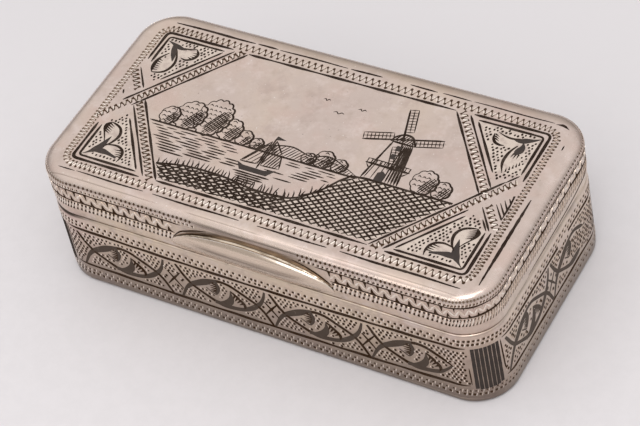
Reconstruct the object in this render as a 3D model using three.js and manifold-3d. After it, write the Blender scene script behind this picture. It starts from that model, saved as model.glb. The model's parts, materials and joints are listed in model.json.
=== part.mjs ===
// Silver snuff box with a hinged lid, in millimetres, +Z up.
// The origin is the middle of the underside. +X runs along the long side,
// -Y faces the thumbpiece and +Y faces the hinge.
import * as THREE from 'three';
import { mergeVertices } from 'three/addons/utils/BufferGeometryUtils.js';
import Module from 'manifold-3d';

const wasm = await Module();
wasm.setup();

// Overall form, measured round the foot of the box
const footLength = 76.0;
const footWidth = 38.5;
const cornerRadius = 6.6;
const totalHeight = 22.6;
const seamHeight = 14.7;

// Gaps: between lid and base, and in the soldered joints
const seamGap = 0.12;
const solderFilm = 0.03;

// Base shell: insets are measured inwards from the foot
const floorThickness = 1.0;
const footRound = 0.7;
const baseWallThickness = 1.1;
const shoulderInset = 0.2;
const shoulderHeight = 2.0;
const rimInset = 0.5;

// Upright lip inside the mouth of the base
const lipThickness = 0.5;
const lipRise = 1.3;
const lipDepth = 4.0;
const lipClearance = 0.13;

// Lid shell: its top edge is rolled over in a quarter ellipse
const lidInset = 0.26;
const lidShoulderHeight = 1.1;
const edgeRise = 1.3;
const edgeReach = 2.0;
const plateRecess = 0.4;
const plateLedge = 0.5;

// Hinge along the back
const hingeEndMargin = 2.4;
const knuckleCount = 9;
const knuckleGap = 0.1;
const barrelRadius = 1.1;
const boreRadius = 0.52;
const pinClearance = 0.06;
const plugLength = 1.0;
const hingeClearance = 0.06;
const bearerThickness = 1.5;
const bearerHeight = 2.8;
const bearerEnd = 0.6;

// Thumbpiece: a crescent on the front of the lid
const thumbLength = 27.4;
const thumbReach = 1.2;
const thumbTipRise = 1.4;
const thumbFootRise = 0.2;
const thumbRidgeDrop = 0.7;
const thumbEdge = 0.15;
const thumbHollow = 0.7;

// Shares and powers that shape the thumbpiece: an arch power under 1 is fuller than an ellipse
const thumbArchPower = 0.85;
const thumbBulgePower = 1.5;
const thumbFaceShare = 0.4;
const hollowBrinkShare = 0.75;
const hollowBedShare = 0.4;
const hollowBankShare = 0.6;

// Facets
const cornerSteps = 8;
const edgeSteps = 5;
const roundSides = 20;
const coveSides = 32;
const thumbSteps = 16;

// Values that follow from the sizes above
const baseRim = seamHeight - seamGap / 2;
const lidRim = seamHeight + seamGap / 2;
const wallFoot = floorThickness + solderFilm;
const plateSeat = totalHeight - edgeRise;
const lidWallTop = plateSeat - solderFilm;
const lipInset = baseWallThickness + solderFilm;
const lidInnerInset = lipInset - lipClearance;
const hingeLength = footLength - 2 * cornerRadius - 2 * hingeEndMargin;
const hingeY = footWidth / 2 - rimInset;
const coveRadius = barrelRadius + hingeClearance;
const knuckleLength = (hingeLength - (knuckleCount - 1) * knuckleGap) / knuckleCount;
const pinRadius = boreRadius - pinClearance;
const bearerLength = hingeLength + 2 * bearerEnd;

// Materials
const silverColor = 0xc9b5a9;
const steelColor = 0x8d8a86;

function silver() {
  return new THREE.MeshStandardMaterial({ color: silverColor, metalness: 1.0, roughness: 0.32 });
}

function steel() {
  return new THREE.MeshStandardMaterial({ color: steelColor, metalness: 1.0, roughness: 0.4 });
}

function piece(name, geometry, material) {
  const mesh = new THREE.Mesh(geometry, material);
  mesh.name = name;
  return mesh;
}

// Rounded rectangle in plan, drawn in from the foot by an inset, anticlockwise from the right-hand end
function outline(inset) {
  const x = footLength / 2 - cornerRadius;
  const y = footWidth / 2 - cornerRadius;
  const centres = [[x, y], [-x, y], [-x, -y], [x, -y]];
  const radius = cornerRadius - inset;
  return centres.flatMap(([cx, cy], quarter) => Array.from({ length: cornerSteps + 1 }, (_, step) => {
    const angle = (quarter + step / cornerSteps) * Math.PI / 2;
    return new THREE.Vector2(cx + radius * Math.cos(angle), cy + radius * Math.sin(angle));
  }));
}

// Quarter ellipse between two section points [inset, z], leaving the first one upright
function roundedEdge(from, to) {
  return Array.from({ length: edgeSteps + 1 }, (_, step) => {
    const angle = (step / edgeSteps) * Math.PI / 2;
    const inset = from[0] + (to[0] - from[0]) * (1 - Math.cos(angle));
    const z = from[1] + (to[1] - from[1]) * Math.sin(angle);
    return [inset, z];
  });
}

function meshGeometry(points, faces) {
  const geometry = new THREE.BufferGeometry();
  geometry.setAttribute('position', new THREE.Float32BufferAttribute(points, 3));
  geometry.setIndex(faces);
  geometry.computeVertexNormals();
  return geometry;
}

// Joins neighbouring rows of points, each row a closed loop of the same count
function joinRows(faces, count, row, next) {
  for (let i = 0; i < count; i += 1) {
    const j = (i + 1) % count;
    faces.push(row * count + i, row * count + j, next * count + j);
    faces.push(row * count + i, next * count + j, next * count + i);
  }
}

function sectionPoints(section) {
  return section.flatMap(([inset, z]) => outline(inset).flatMap((point) => [point.x, point.y, z]));
}

// Strip bent round the four sides: the section runs up its outside and down its inside
function bentStrip(section) {
  const count = outline(0).length;
  const faces = [];
  section.forEach((_, row) => joinRows(faces, count, row, (row + 1) % section.length));
  return meshGeometry(sectionPoints(section), faces);
}

// Sheet closed at both faces: the section runs from its under face to its upper face
function sheet(section) {
  const count = outline(0).length;
  const points = sectionPoints(section);
  const faces = [];
  const last = section.length - 1;
  for (let row = 0; row < last; row += 1) {
    joinRows(faces, count, row, row + 1);
  }
  const under = section.length * count;
  points.push(0, 0, section[0][1], 0, 0, section[last][1]);
  for (let i = 0; i < count; i += 1) {
    const j = (i + 1) % count;
    faces.push(under, j, i);
    faces.push(under + 1, last * count + i, last * count + j);
  }
  return meshGeometry(points, faces);
}

// Shape drawn in the Y-Z plane and drawn out along X, with its middle on X = 0
function alongX(shape, length) {
  const geometry = new THREE.ExtrudeGeometry(shape, {
    depth: length, bevelEnabled: false, curveSegments: roundSides / 2,
  });
  geometry.translate(0, 0, -length / 2);
  const turn = new THREE.Matrix4().makeBasis(
    new THREE.Vector3(0, 1, 0), new THREE.Vector3(0, 0, 1), new THREE.Vector3(1, 0, 0),
  );
  return geometry.applyMatrix4(turn);
}

function tube(outer, bore, length) {
  const ring = new THREE.Shape().absarc(0, 0, outer, 0, 2 * Math.PI);
  ring.holes.push(new THREE.Path().absarc(0, 0, bore, 0, 2 * Math.PI));
  return alongX(ring, length);
}

function rod(radius, length, sides) {
  return new THREE.CylinderGeometry(radius, radius, length, sides).rotateZ(Math.PI / 2);
}

// Cutting one solid by another
function toSolid(geometry) {
  const bare = new THREE.BufferGeometry();
  bare.setAttribute('position', geometry.getAttribute('position').clone());
  bare.setIndex(geometry.index);
  const merged = mergeVertices(bare);
  return new wasm.Manifold(new wasm.Mesh({
    numProp: 3,
    vertProperties: new Float32Array(merged.getAttribute('position').array),
    triVerts: new Uint32Array(merged.index.array),
  }));
}

function cutAway(geometry, cutter) {
  const mesh = toSolid(geometry).subtract(toSolid(cutter)).getMesh();
  return meshGeometry(mesh.vertProperties, Array.from(mesh.triVerts));
}

// Room for the hinge barrel: a round groove along the back, just longer than the hinge
function hingeCove() {
  const flatToFlat = coveRadius / Math.cos(Math.PI / coveSides);
  const cove = rod(flatToFlat, hingeLength + 2 * hingeClearance, coveSides);
  return cove.translate(0, hingeY, seamHeight);
}

// Base
function baseFloor() {
  const round = Math.min(footRound, floorThickness);
  const corner = roundedEdge([0, round], [round, 0]).reverse();
  return sheet([...corner, [0, floorThickness]]);
}

function baseWall() {
  const shoulder = [shoulderInset, baseRim - shoulderHeight];
  const strip = bentStrip([
    [0, wallFoot],
    ...roundedEdge(shoulder, [rimInset, baseRim]),
    [baseWallThickness, baseRim],
    [baseWallThickness, wallFoot],
  ]);
  return cutAway(strip, hingeCove());
}

// The lip stops at the ends of the hinge bearers
function baseLip() {
  const end = bearerLength / 2 + lipClearance;
  const run = (inset) => {
    const corners = outline(inset);
    const backRight = corners.splice(0, cornerSteps + 1);
    const back = footWidth / 2 - inset;
    return [new THREE.Vector2(-end, back), ...corners, ...backRight, new THREE.Vector2(end, back)];
  };
  const inside = run(lipInset + lipThickness).reverse();
  const shape = new THREE.Shape([...run(lipInset), ...inside]);
  const strip = new THREE.ExtrudeGeometry(shape, { depth: lipDepth + lipRise, bevelEnabled: false });
  return strip.translate(0, 0, baseRim - lipDepth);
}

// Grooved bar inside a back wall: side is -1 below the seam and +1 above it
function hingeBearer(wallInset, side) {
  const outerFace = footWidth / 2 - wallInset - solderFilm;
  const bar = new THREE.BoxGeometry(bearerLength, bearerThickness, bearerHeight);
  bar.translate(0, outerFace - bearerThickness / 2, seamHeight + side * (seamGap + bearerHeight) / 2);
  return cutAway(bar, hingeCove());
}

// Lid
function lidPlate() {
  const recessInset = lidInnerInset + plateLedge;
  return sheet([
    [recessInset, plateSeat + plateRecess],
    [recessInset, plateSeat],
    ...roundedEdge([lidInset, plateSeat], [lidInset + edgeReach, totalHeight]),
  ]);
}

function lidWall() {
  const shoulder = [lidInset, lidRim + lidShoulderHeight];
  const strip = bentStrip([
    ...roundedEdge(shoulder, [rimInset, lidRim]).reverse(),
    [lidInset, lidWallTop],
    [lidInnerInset, lidWallTop],
    [lidInnerInset, lidRim],
  ]);
  return cutAway(strip, hingeCove());
}

// Crescent between two pointed tips: its face leans out up to a ridge, with a hollow behind the ridge
function thumbpiece() {
  const seat = -(footWidth / 2 - lidInset) - solderFilm;
  const tip = seamHeight + thumbTipRise;
  const foot = lidRim + thumbFootRise;
  const ridge = plateSeat - thumbRidgeDrop;
  const section = (fullness) => {
    const low = tip + (foot - tip) * fullness;
    const high = tip + (ridge - tip) * fullness ** thumbArchPower;
    const reach = thumbReach * fullness ** thumbBulgePower;
    const edge = Math.min(thumbEdge * fullness, reach / 2);
    const hollow = thumbHollow * fullness;
    return [
      [0, low],
      [edge, low],
      [edge + (reach - edge) * thumbFaceShare, (low + high) / 2],
      [reach, high],
      [reach * hollowBrinkShare, high - hollow * hollowBankShare],
      [reach * hollowBedShare, high - hollow],
      [0, high - hollow * hollowBankShare],
    ];
  };
  const points = [-thumbLength / 2, seat, tip];
  const faces = [];
  const count = section(1).length;
  for (let step = 1; step < thumbSteps; step += 1) {
    const angle = (step / thumbSteps - 0.5) * Math.PI;
    const x = (thumbLength / 2) * Math.sin(angle);
    section(Math.cos(angle)).forEach(([reach, z]) => points.push(x, seat - reach, z));
  }
  const rightTip = points.length / 3;
  points.push(thumbLength / 2, seat, tip);
  for (let step = 0; step < thumbSteps; step += 1) {
    for (let i = 0; i < count; i += 1) {
      const j = (i + 1) % count;
      const here = 1 + (step - 1) * count;
      const next = 1 + step * count;
      if (step === 0) {
        faces.push(0, next + i, next + j);
      } else if (step === thumbSteps - 1) {
        faces.push(here + i, rightTip, here + j);
      } else {
        faces.push(here + i, next + i, next + j);
        faces.push(here + i, next + j, here + j);
      }
    }
  }
  return meshGeometry(points, faces);
}

const base = new THREE.Group();
base.add(
  piece('base_floor', baseFloor(), silver()),
  piece('base_wall', baseWall(), silver()),
  piece('base_lip', baseLip(), silver()),
  piece('base_hinge_bearer', hingeBearer(baseWallThickness, -1), silver()),
);

const lid = new THREE.Group();
lid.add(
  piece('lid_plate', lidPlate(), silver()),
  piece('lid_wall', lidWall(), silver()),
  piece('lid_hinge_bearer', hingeBearer(lidInnerInset, 1), silver()),
  piece('thumbpiece', thumbpiece(), silver()),
);

// Knuckles alternate along the hinge, with a base knuckle at each end
for (let slot = 0; slot < knuckleCount; slot += 1) {
  const onBase = slot % 2 === 0;
  const number = Math.floor(slot / 2) + 1;
  const knuckle = piece(
    `${onBase ? 'base' : 'lid'}_knuckle_${number}`,
    tube(barrelRadius, boreRadius, knuckleLength),
    silver(),
  );
  const middle = (slot - (knuckleCount - 1) / 2) * (knuckleLength + knuckleGap);
  knuckle.position.set(middle, hingeY, seamHeight);
  (onBase ? base : lid).add(knuckle);
}

const pinLength = hingeLength - 2 * (plugLength + solderFilm);
const pin = piece('hinge_pin', rod(pinRadius, pinLength, roundSides), steel());
pin.position.set(0, hingeY, seamHeight);
base.add(pin);

for (const [side, name] of [[-1, 'hinge_plug_left'], [1, 'hinge_plug_right']]) {
  const plug = piece(name, rod(pinRadius, plugLength, roundSides), silver());
  plug.position.set(side * (hingeLength - plugLength) / 2, hingeY, seamHeight);
  base.add(plug);
}

const snuffBox = new THREE.Group();
snuffBox.add(base, lid);

export default snuffBox;
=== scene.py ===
import json
import math
import random

import bpy
from mathutils import Matrix, Vector


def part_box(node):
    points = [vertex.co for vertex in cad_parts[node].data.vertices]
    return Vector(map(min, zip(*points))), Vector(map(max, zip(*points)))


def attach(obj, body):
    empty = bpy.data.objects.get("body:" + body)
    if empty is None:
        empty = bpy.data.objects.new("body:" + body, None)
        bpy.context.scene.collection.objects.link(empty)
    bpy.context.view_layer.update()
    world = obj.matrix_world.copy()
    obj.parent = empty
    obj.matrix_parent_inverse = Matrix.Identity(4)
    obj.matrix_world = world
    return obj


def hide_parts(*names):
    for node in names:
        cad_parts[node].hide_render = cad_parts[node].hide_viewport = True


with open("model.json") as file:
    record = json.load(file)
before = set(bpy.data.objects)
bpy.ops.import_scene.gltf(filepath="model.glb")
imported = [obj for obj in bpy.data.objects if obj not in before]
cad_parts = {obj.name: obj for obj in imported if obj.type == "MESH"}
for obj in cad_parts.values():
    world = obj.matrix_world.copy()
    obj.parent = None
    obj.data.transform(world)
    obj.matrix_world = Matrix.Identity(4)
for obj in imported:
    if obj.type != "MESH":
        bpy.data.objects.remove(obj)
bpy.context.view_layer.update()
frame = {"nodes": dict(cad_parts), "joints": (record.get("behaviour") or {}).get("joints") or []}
mm = 0.001  # every piece below is drawn in millimetres
hand = random.Random(1887)  # the engraver's small unevenness
print("frame loaded:", len(frame["nodes"]), "nodes")


# Sizes read from the frame, in millimetres
def boxOf(node):
    low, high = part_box(node)
    return low / mm, high / mm


footHigh = boxOf("base_floor")[1]
wallLow, wallHigh = boxOf("base_wall")
lidLow = boxOf("lid_wall")[0]
plateLow, plateHigh = boxOf("lid_plate")
lipLow, lipHigh = boxOf("base_lip")
hingeAxis = Vector(frame["joints"][0]["pos_m"]) / mm
topZ = plateHigh.z
lidInset = footHigh.x - plateHigh.x
edgeRise = plateHigh.z - plateLow.z

shell = {
    "cornerRadius": 6.6,       # in plan, at the foot
    "footRound": 0.7,
    "wallThickness": 1.1,
    "wallLean": ((4.0, 0.06), (8.0, 0.13)),  # the base wall leans in: (height, inset)
    "shoulderInset": 0.2,      # as far as this at its shoulder
    "shoulderHeight": 0.75,
    "rimInset": 0.6,           # at the seam, base and lid alike
    "lidShoulder": 1.1,
    "lidInnerInset": 1.0,
    "wallSeat": 0.028,         # the base wall fills the soldered joint with the floor
    "lidSeat": 0.002,          # the lid's wall stops just under the plate
    "edgeReach": 2.0,          # the lid's rolled edge, in plan
    "plateRecess": 0.4,
    "recessInset": 1.5,
    "lipThickness": 0.5,
    "lipRound": ((0.0, 0.25), (0.05, 0.1), (0.15, 0.0)),  # its rounded edge: (inset, drop)
    "lipGap": 0.13,            # between the lip's ends and the hinge bar
    "coveRadius": 1.16,        # groove for the hinge barrel
    "coveEnd": 0.06,
    "softEdge": 0.07,          # small rounding of cut edges
    "flatStart": 0.3,          # flat faces begin this far past a bend
    "footFlatStart": 0.4,
    "topFlatStart": 0.15,
    "smoothAngle": 32,         # sharper edges stay crisp
    "cornerSteps": 40,
    "edgeSteps": 14,
    "topEdgeSteps": 24,
}

radius = shell["cornerRadius"]
sideRun = 2 * (footHigh.x - radius)
endRun = 2 * (footHigh.y - radius)
cornerRun = math.pi / 2 * radius
girth = 2 * (sideRun + endRun) + 4 * cornerRun
cornerMiddle = sideRun / 2 + cornerRun / 2
rightMiddle = sideRun / 2 + cornerRun + endRun / 2
backMiddle = girth / 2
shoulderZ = wallHigh.z - shell["shoulderHeight"]
lidShoulderZ = lidLow.z + shell["lidShoulder"]


# Point and outward direction on the plan outline; s runs anticlockwise from the middle of the front
def outline(s, inset=0.0):
    s = (s + sideRun / 2) % girth
    ends = ((1, -1), (1, 1), (-1, 1), (-1, -1))
    for side, run in enumerate((sideRun, endRun, sideRun, endRun)):
        turn = math.pi / 2 * side
        centre = Vector((ends[side][0] * sideRun / 2, ends[side][1] * endRun / 2))
        if s <= run:
            out = Vector((math.sin(turn), -math.cos(turn)))
            along = Vector((math.cos(turn), math.sin(turn)))
            return centre + out * (radius - inset) - along * (run - s), out
        s -= run
        if s <= cornerRun:
            angle = turn - math.pi / 2 + s / radius
            out = Vector((math.cos(angle), math.sin(angle)))
            return centre + out * (radius - inset), out
        s -= cornerRun
    return outline(-sideRun / 2, inset)


def quarter(share):
    return 1 - math.sqrt(max(0.0, 1 - min(1.0, share) ** 2))


# How far the outside lies inside the foot outline at a height
def wallInset(z):
    if z <= shoulderZ:
        return shell["shoulderInset"] * max(0.0, (z - wallLow.z) / (shoulderZ - wallLow.z))
    if z <= wallHigh.z:
        bend = quarter((z - shoulderZ) / shell["shoulderHeight"])
        return shell["shoulderInset"] + (shell["rimInset"] - shell["shoulderInset"]) * bend
    if z <= lidShoulderZ:
        return lidInset + (shell["rimInset"] - lidInset) * quarter((lidShoulderZ - z) / shell["lidShoulder"])
    return lidInset + shell["edgeReach"] * quarter(max(0.0, z - plateLow.z) / edgeRise)


# A point on the outside of the walls, lifted off the metal
def wallPlace(s, z, lift):
    probe = 0.03
    slope = (wallInset(z + probe) - wallInset(z - probe)) / (2 * probe)
    size = math.hypot(1, slope)
    point, out = outline(s, wallInset(z))
    point = point + out * (lift / size)
    return Vector((point.x, point.y, z + lift * slope / size))


def topPlace(x, y, lift):
    return Vector((x, y, topZ + lift))


# Places round the outline: close together round the corners
def stations():
    steps = shell["cornerSteps"]
    marks = []
    s = -sideRun / 2
    for run in (sideRun, endRun, sideRun, endRun):
        marks += [s, s + shell["flatStart"], s + run - shell["flatStart"]]
        marks += [s + run + cornerRun * step / steps for step in range(steps)]
        s += run + cornerRun
    return marks


# Shader sums as plain expressions
class Wire:
    def __init__(self, tree, socket=None):
        self.tree = tree
        self.socket = socket

    # Any node: its settings first, then values or links for its sockets
    def add(self, kind, settings=None, values=None, out=0):
        node = self.tree.nodes.new(kind)
        for name, value in (settings or {}).items():
            setattr(node, name, value)
        for name, value in (values or {}).items():
            if isinstance(value, Wire):
                self.tree.links.new(value.socket, node.inputs[name])
            else:
                node.inputs[name].default_value = value
        return Wire(self.tree, node.outputs[out] if node.outputs else None)

    def sum(self, operation, *terms):
        return self.add("ShaderNodeMath", {"operation": operation}, dict(enumerate(terms)))

    def __add__(self, other):
        return self.sum("ADD", self, other)

    def __radd__(self, other):
        return self.sum("ADD", other, self)

    def __sub__(self, other):
        return self.sum("SUBTRACT", self, other)

    def __rsub__(self, other):
        return self.sum("SUBTRACT", other, self)

    def __mul__(self, other):
        return self.sum("MULTIPLY", self, other)

    def __rmul__(self, other):
        return self.sum("MULTIPLY", other, self)

    def __truediv__(self, other):
        return self.sum("DIVIDE", self, other)

    def __rtruediv__(self, other):
        return self.sum("DIVIDE", other, self)

    def __abs__(self):
        return self.sum("ABSOLUTE", self)

    def axis(self, name):
        return self.add("ShaderNodeSeparateXYZ", None, {"Vector": self}, out=name)

    # Colours: this much of the second one
    def mix(self, first, second, share):
        values = {0: share}
        for slot, colour in ((6, first), (7, second)):
            values[slot] = colour if isinstance(colour, Wire) else (*colour, 1.0)
        return self.add("ShaderNodeMix", {"data_type": "RGBA"}, values, out=2)

    # 0 below low, 1 above high
    def between(self, low, high):
        limits = {"Value": self, "From Min": low, "From Max": high}
        return self.add("ShaderNodeMapRange", {"interpolation_type": "SMOOTHSTEP"}, limits)

    # The other way round
    def below(self, low, high):
        return 1 - self.between(low, high)

    def noise(self, scale, detail=3.0, rough=0.55, stretch=(1, 1, 1), turn=0.0):
        spot = self
        if stretch != (1, 1, 1):
            moved = {"Vector": self, "Rotation": (0, 0, math.radians(turn)), "Scale": stretch}
            spot = self.add("ShaderNodeMapping", None, moved)
        values = {"Vector": spot, "Scale": scale, "Detail": detail, "Roughness": rough}
        return self.add("ShaderNodeTexNoise", None, values)

    # Long streaks, as rubbing leaves them; they break up the painted shade round the thumbpiece
    def streaks(self):
        return self.noise(1.0, 4, 0.6, (0.18, 3.5, 3.5))


def newFinish(name):
    finish = bpy.data.materials.new(name)
    finish.use_nodes = True
    finish.node_tree.nodes.clear()
    wire = Wire(finish.node_tree)
    metres = wire.add("ShaderNodeTexCoord", out="Object")
    place = wire.add("ShaderNodeVectorMath", {"operation": "SCALE"}, {0: metres, "Scale": 1 / mm})
    return finish, place


def coatWith(place, values):
    shader = place.add("ShaderNodeBsdfPrincipled", None, values)
    place.add("ShaderNodeOutputMaterial", None, {"Surface": shader})


def bumpOf(place, height, depth):
    return place.add("ShaderNodeBump", None, {"Height": height, "Distance": depth * mm, "Strength": 1.0})


silverLook = {
    "pale": (0.575, 0.475, 0.432),
    "warm": (0.71, 0.585, 0.452),
    "rose": (0.58, 0.435, 0.39),
    "bright": (0.69, 0.585, 0.54),
    "dull": (0.49, 0.39, 0.345),
    "tarnish": (0.37, 0.285, 0.215),
    "speck": (0.86, 0.81, 0.77),
    "pit": (0.13, 0.10, 0.08),
    "shade": (0.27, 0.215, 0.175),   # painted shade behind the thumbpiece
    "endPaintedLight": (0.83, 0.74, 0.675),  # painted light: the short sides lighter
    "lower": (0.30, 0.235, 0.192),   # painted shade with some dirt: the walls darker towards the table
    # painted shade with some dirt at the foot
    "foot": (0.16, 0.13, 0.113),
    # painted shade with dirt in the seam
    "seamDirtAndShade": (0.05, 0.038, 0.030),
    "seamDirtAndShadeMost": 0.92,
    "polish": 0.12,                  # the rolled edge is rubbed smoother by this
    "grain": 0.006,                  # depth of the surface's fine unevenness, mm
}

# Where wear, stains and painted light and shade set in along an axis, and where they are full or gone, in
# millimetres
wearAndShading = {
    "backEdgeY": (16.2, 17.4),       # darker on the rolled edge at the back
    "behindEdgeX": (7.0, 12.0), "behindEdgeZ": (21.75, 22.3),  # shade behind the thumbpiece, on the edge
    "behindWallX": (8.0, 13.0), "behindWallZ": (18.2, 19.0),   # and on the wall
    "frontY": (-17.0, -15.0),
    "reflectionLineY": (-18.05, -17.93), "reflectionLineEndY": (-17.86, -17.74),  # a painted dark reflection line along the front edge
    "polishZ": (topZ - 0.5, topZ),
    "flushX": (25.0, 32.0), "flushY": (-17.0, -11.0),          # reddish front corners
    "duskX": (16.0, 31.0), "duskY": (-17.5, -11.0), "duskZ": (13.0, 14.6),  # the base's front right corner
    # the short sides, where the walls are painted lighter
    "endX": (36.6, 37.8),
    # painted shade towards the table and at the foot
    "lowShadeZ": (5.0, 13.5),
    "footShadeZ": (-1.2, 6.0),
    "seamZ": 14.7, "seamX": (-33.0, -27.0), "seamY": (-8.0, 4.0),  # painted shade with dirt in the seam, most of it at the left
}


# The lid's rolled edge: darker at the back, painted shade behind the thumbpiece, and a painted dark
# reflection line along the front
def edgeWearAndShade(place, cloud):
    back, height, aside = place.axis("Y"), place.axis("Z"), abs(place.axis("X"))
    behind = aside.below(*wearAndShading["behindEdgeX"]) * height.below(*wearAndShading["behindEdgeZ"])
    darkReflection = back.between(*wearAndShading["reflectionLineY"]) * back.below(*wearAndShading["reflectionLineEndY"])
    darkReflection = darkReflection * place.noise(1.0, 3, 0.5, (0.09, 0.4, 0.4)).between(0.38, 0.58)
    streak = place.streaks().between(0.36, 0.60) * 0.5 + 0.3
    return [
        ("tarnish", back.between(*wearAndShading["backEdgeY"]) * (cloud * 0.24 + 0.36)),
        ("shade", behind * back.below(*wearAndShading["frontY"]) * streak),
        ("shade", darkReflection * 0.6),
    ]


# The walls: reddish corners, painted shade behind the thumbpiece, painted light on the short sides, painted
# shade with some dirt towards the table, and painted shade with dirt in the seam
def wallWearAndPaintedLight(place, blush, mottle):
    across, back, height = place.axis("X"), place.axis("Y"), place.axis("Z")
    aside = abs(across)
    flush = aside.between(*wearAndShading["flushX"]) * back.below(*wearAndShading["flushY"])
    dusk = across.between(*wearAndShading["duskX"]) * back.below(*wearAndShading["duskY"]) * height.below(*wearAndShading["duskZ"])
    behind = aside.below(*wearAndShading["behindWallX"]) * height.between(*wearAndShading["behindWallZ"])
    streak = place.streaks().between(0.40, 0.60) * 0.55 + 0.2
    ends = aside.between(*wearAndShading["endX"])
    left = across.below(*wearAndShading["seamX"]) * back.below(*wearAndShading["seamY"])
    patchy = place.noise(0.12, 3).between(0.40, 0.62) * 0.5 + left
    off = abs(height - wearAndShading["seamZ"]) / (left * 0.3 + 0.22)
    return [
        ("rose", flush * (blush * 0.4 + 0.35)),
        ("tarnish", dusk * 0.4),
        ("shade", behind * back.below(*wearAndShading["frontY"]) * streak),
        ("endPaintedLight", ends * 0.3),
        ("lower", height.below(*wearAndShading["lowShadeZ"]) * 0.56 * (1 - ends * 0.5)),
        ("foot", height.below(*wearAndShading["footShadeZ"]) * 0.85 + mottle.between(0.45, 0.75) * 0.12),
        ("seamDirtAndShade", place.sum("MINIMUM", off.below(0.3, 1.0) * patchy, silverLook["seamDirtAndShadeMost"])),
    ]


def silverFinish(name, warmth, tarnish, roughness, grain=1.0, edge=False, walls=False):
    finish, place = newFinish(name)
    cloud = place.noise(0.07, 4).between(0.35, 0.68)
    blush = place.noise(0.14, 4, 0.62).between(0.46, 0.70)
    mottle = place.noise(0.45, 6, 0.62)
    fine = place.noise(4.5, 3)
    rubbed = place.noise(1.0, 2, 0.5, (0.16, 5.5, 5.5), 24).between(0.60, 0.74)
    crossed = place.noise(1.0, 2, 0.5, (4.5, 0.12, 4.5), -17).between(0.62, 0.76)
    worn = rubbed * 0.6 + crossed * 0.5
    stained = mottle.between(0.50, 0.78) * tarnish
    coats = [
        ("warm", cloud * 0.4 + warmth),
        ("rose", blush * 0.55),
        ("bright", place.noise(0.30, 6, 0.7).between(0.48, 0.70) * 0.75),
        ("dull", place.noise(0.19, 6, 0.7).between(0.50, 0.72) * 0.7),
        ("tarnish", stained),
        ("speck", place.noise(2.6, 2).between(0.70, 0.75) * 0.6),
        ("pit", place.noise(1.9, 2).between(0.72, 0.75) * 0.6),
    ]
    polish = 0.0
    if edge:
        coats += edgeWearAndShade(place, cloud)
        polish = place.axis("Z").below(*wearAndShading["polishZ"]) * silverLook["polish"]
    if walls:
        coats += wallWearAndPaintedLight(place, blush, mottle)
    colour = silverLook["pale"]
    for look, share in coats:
        colour = place.mix(colour, silverLook[look], share)
    coatWith(place, {
        "Base Color": colour,
        "Metallic": 1.0,
        "Roughness": roughness + mottle * 0.14 - 0.07 + worn * 0.07 + stained * 0.12 - polish,
        "Normal": bumpOf(place, mottle * 0.8 + fine * 0.35 - worn * 0.5, silverLook["grain"] * grain),
    })
    return finish


brightLook = {
    "top": (0.94, 0.855, 0.77),
    "topDull": (0.74, 0.63, 0.53),
    "wall": (0.86, 0.775, 0.69),
    "wallDull": (0.70, 0.59, 0.49),
    "ground": (0.69, 0.59, 0.512),   # metal freshly cut between engraved lines
    "groundDull": (0.54, 0.446, 0.395),
    "roughness": 0.24,
}


def brightFinish(name, light):
    finish, place = newFinish(name)
    worn = place.noise(0.9, 4, 0.6).between(0.42, 0.68)
    coatWith(place, {
        "Base Color": place.mix(brightLook[light], brightLook[light + "Dull"], worn),
        "Metallic": 1.0,
        "Roughness": worn * 0.12 + brightLook["roughness"],
    })
    return finish


# the groove behind the thumbpiece's ridge, in painted shade
grooveLook = {
    "light": (0.66, 0.56, 0.45),
    "dark": (0.24, 0.19, 0.14),
    "roughness": 0.42,
}


# Painted shade in the groove behind the thumbpiece's ridge, in streaks along it
def grooveFinish():
    finish, place = newFinish("silverGroove")
    streak = place.streaks().between(0.36, 0.62)
    coatWith(place, {
        "Base Color": place.mix(grooveLook["dark"], grooveLook["light"], streak),
        "Metallic": 1.0,
        "Roughness": streak * -0.12 + grooveLook["roughness"],
    })
    return finish


thumbLook = {
    "light": (0.72, 0.595, 0.485),
    "dark": (0.29, 0.222, 0.168),    # painted dark reflection: a soft streak along the lower part of the face
    "darkFromZ": (16.7, 17.6), "darkToZ": (17.9, 19.0), "darkX": (6.0, 11.0),
    "roughness": 0.25,
}


def thumbFinish():
    finish, place = newFinish("silverThumbpiece")
    height, aside = place.axis("Z"), abs(place.axis("X"))
    streak = place.noise(1.0, 4, 0.6, (0.12, 0.5, 2.4)).between(0.32, 0.62)
    # painted dark reflection along the lower part of the face
    low = height.between(*thumbLook["darkFromZ"]) * height.below(*thumbLook["darkToZ"])
    low = low * aside.below(*thumbLook["darkX"]) * (streak * 0.55 + 0.45)
    worn = place.noise(1.0, 3, 0.5, (0.2, 4.0, 4.0), 12).between(0.52, 0.75)
    coatWith(place, {
        "Base Color": place.mix(thumbLook["light"], thumbLook["dark"], low + worn * 0.10),
        "Metallic": 1.0,
        "Roughness": worn * 0.10 + thumbLook["roughness"],
    })
    return finish


nielloLook = {
    "deep": (0.034, 0.0165, 0.007),
    "brown": (0.058, 0.032, 0.017),  # dirt and painted shade in cuts that hold no niello
    "grey": (0.085, 0.065, 0.053),
    "slate": (0.050, 0.042, 0.039),
    "black": (0.024, 0.0155, 0.0115),
    # fainter dirt and painted shade in shallow cuts
    "faint": (0.17, 0.118, 0.082),
    "pale": (0.115, 0.094, 0.081),   # paler scrolls on the short sides
    "bare": (0.34, 0.27, 0.21),      # silver showing through where it has rubbed thin
    "specular": 0.0,
    "grain": 0.004,
}


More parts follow.
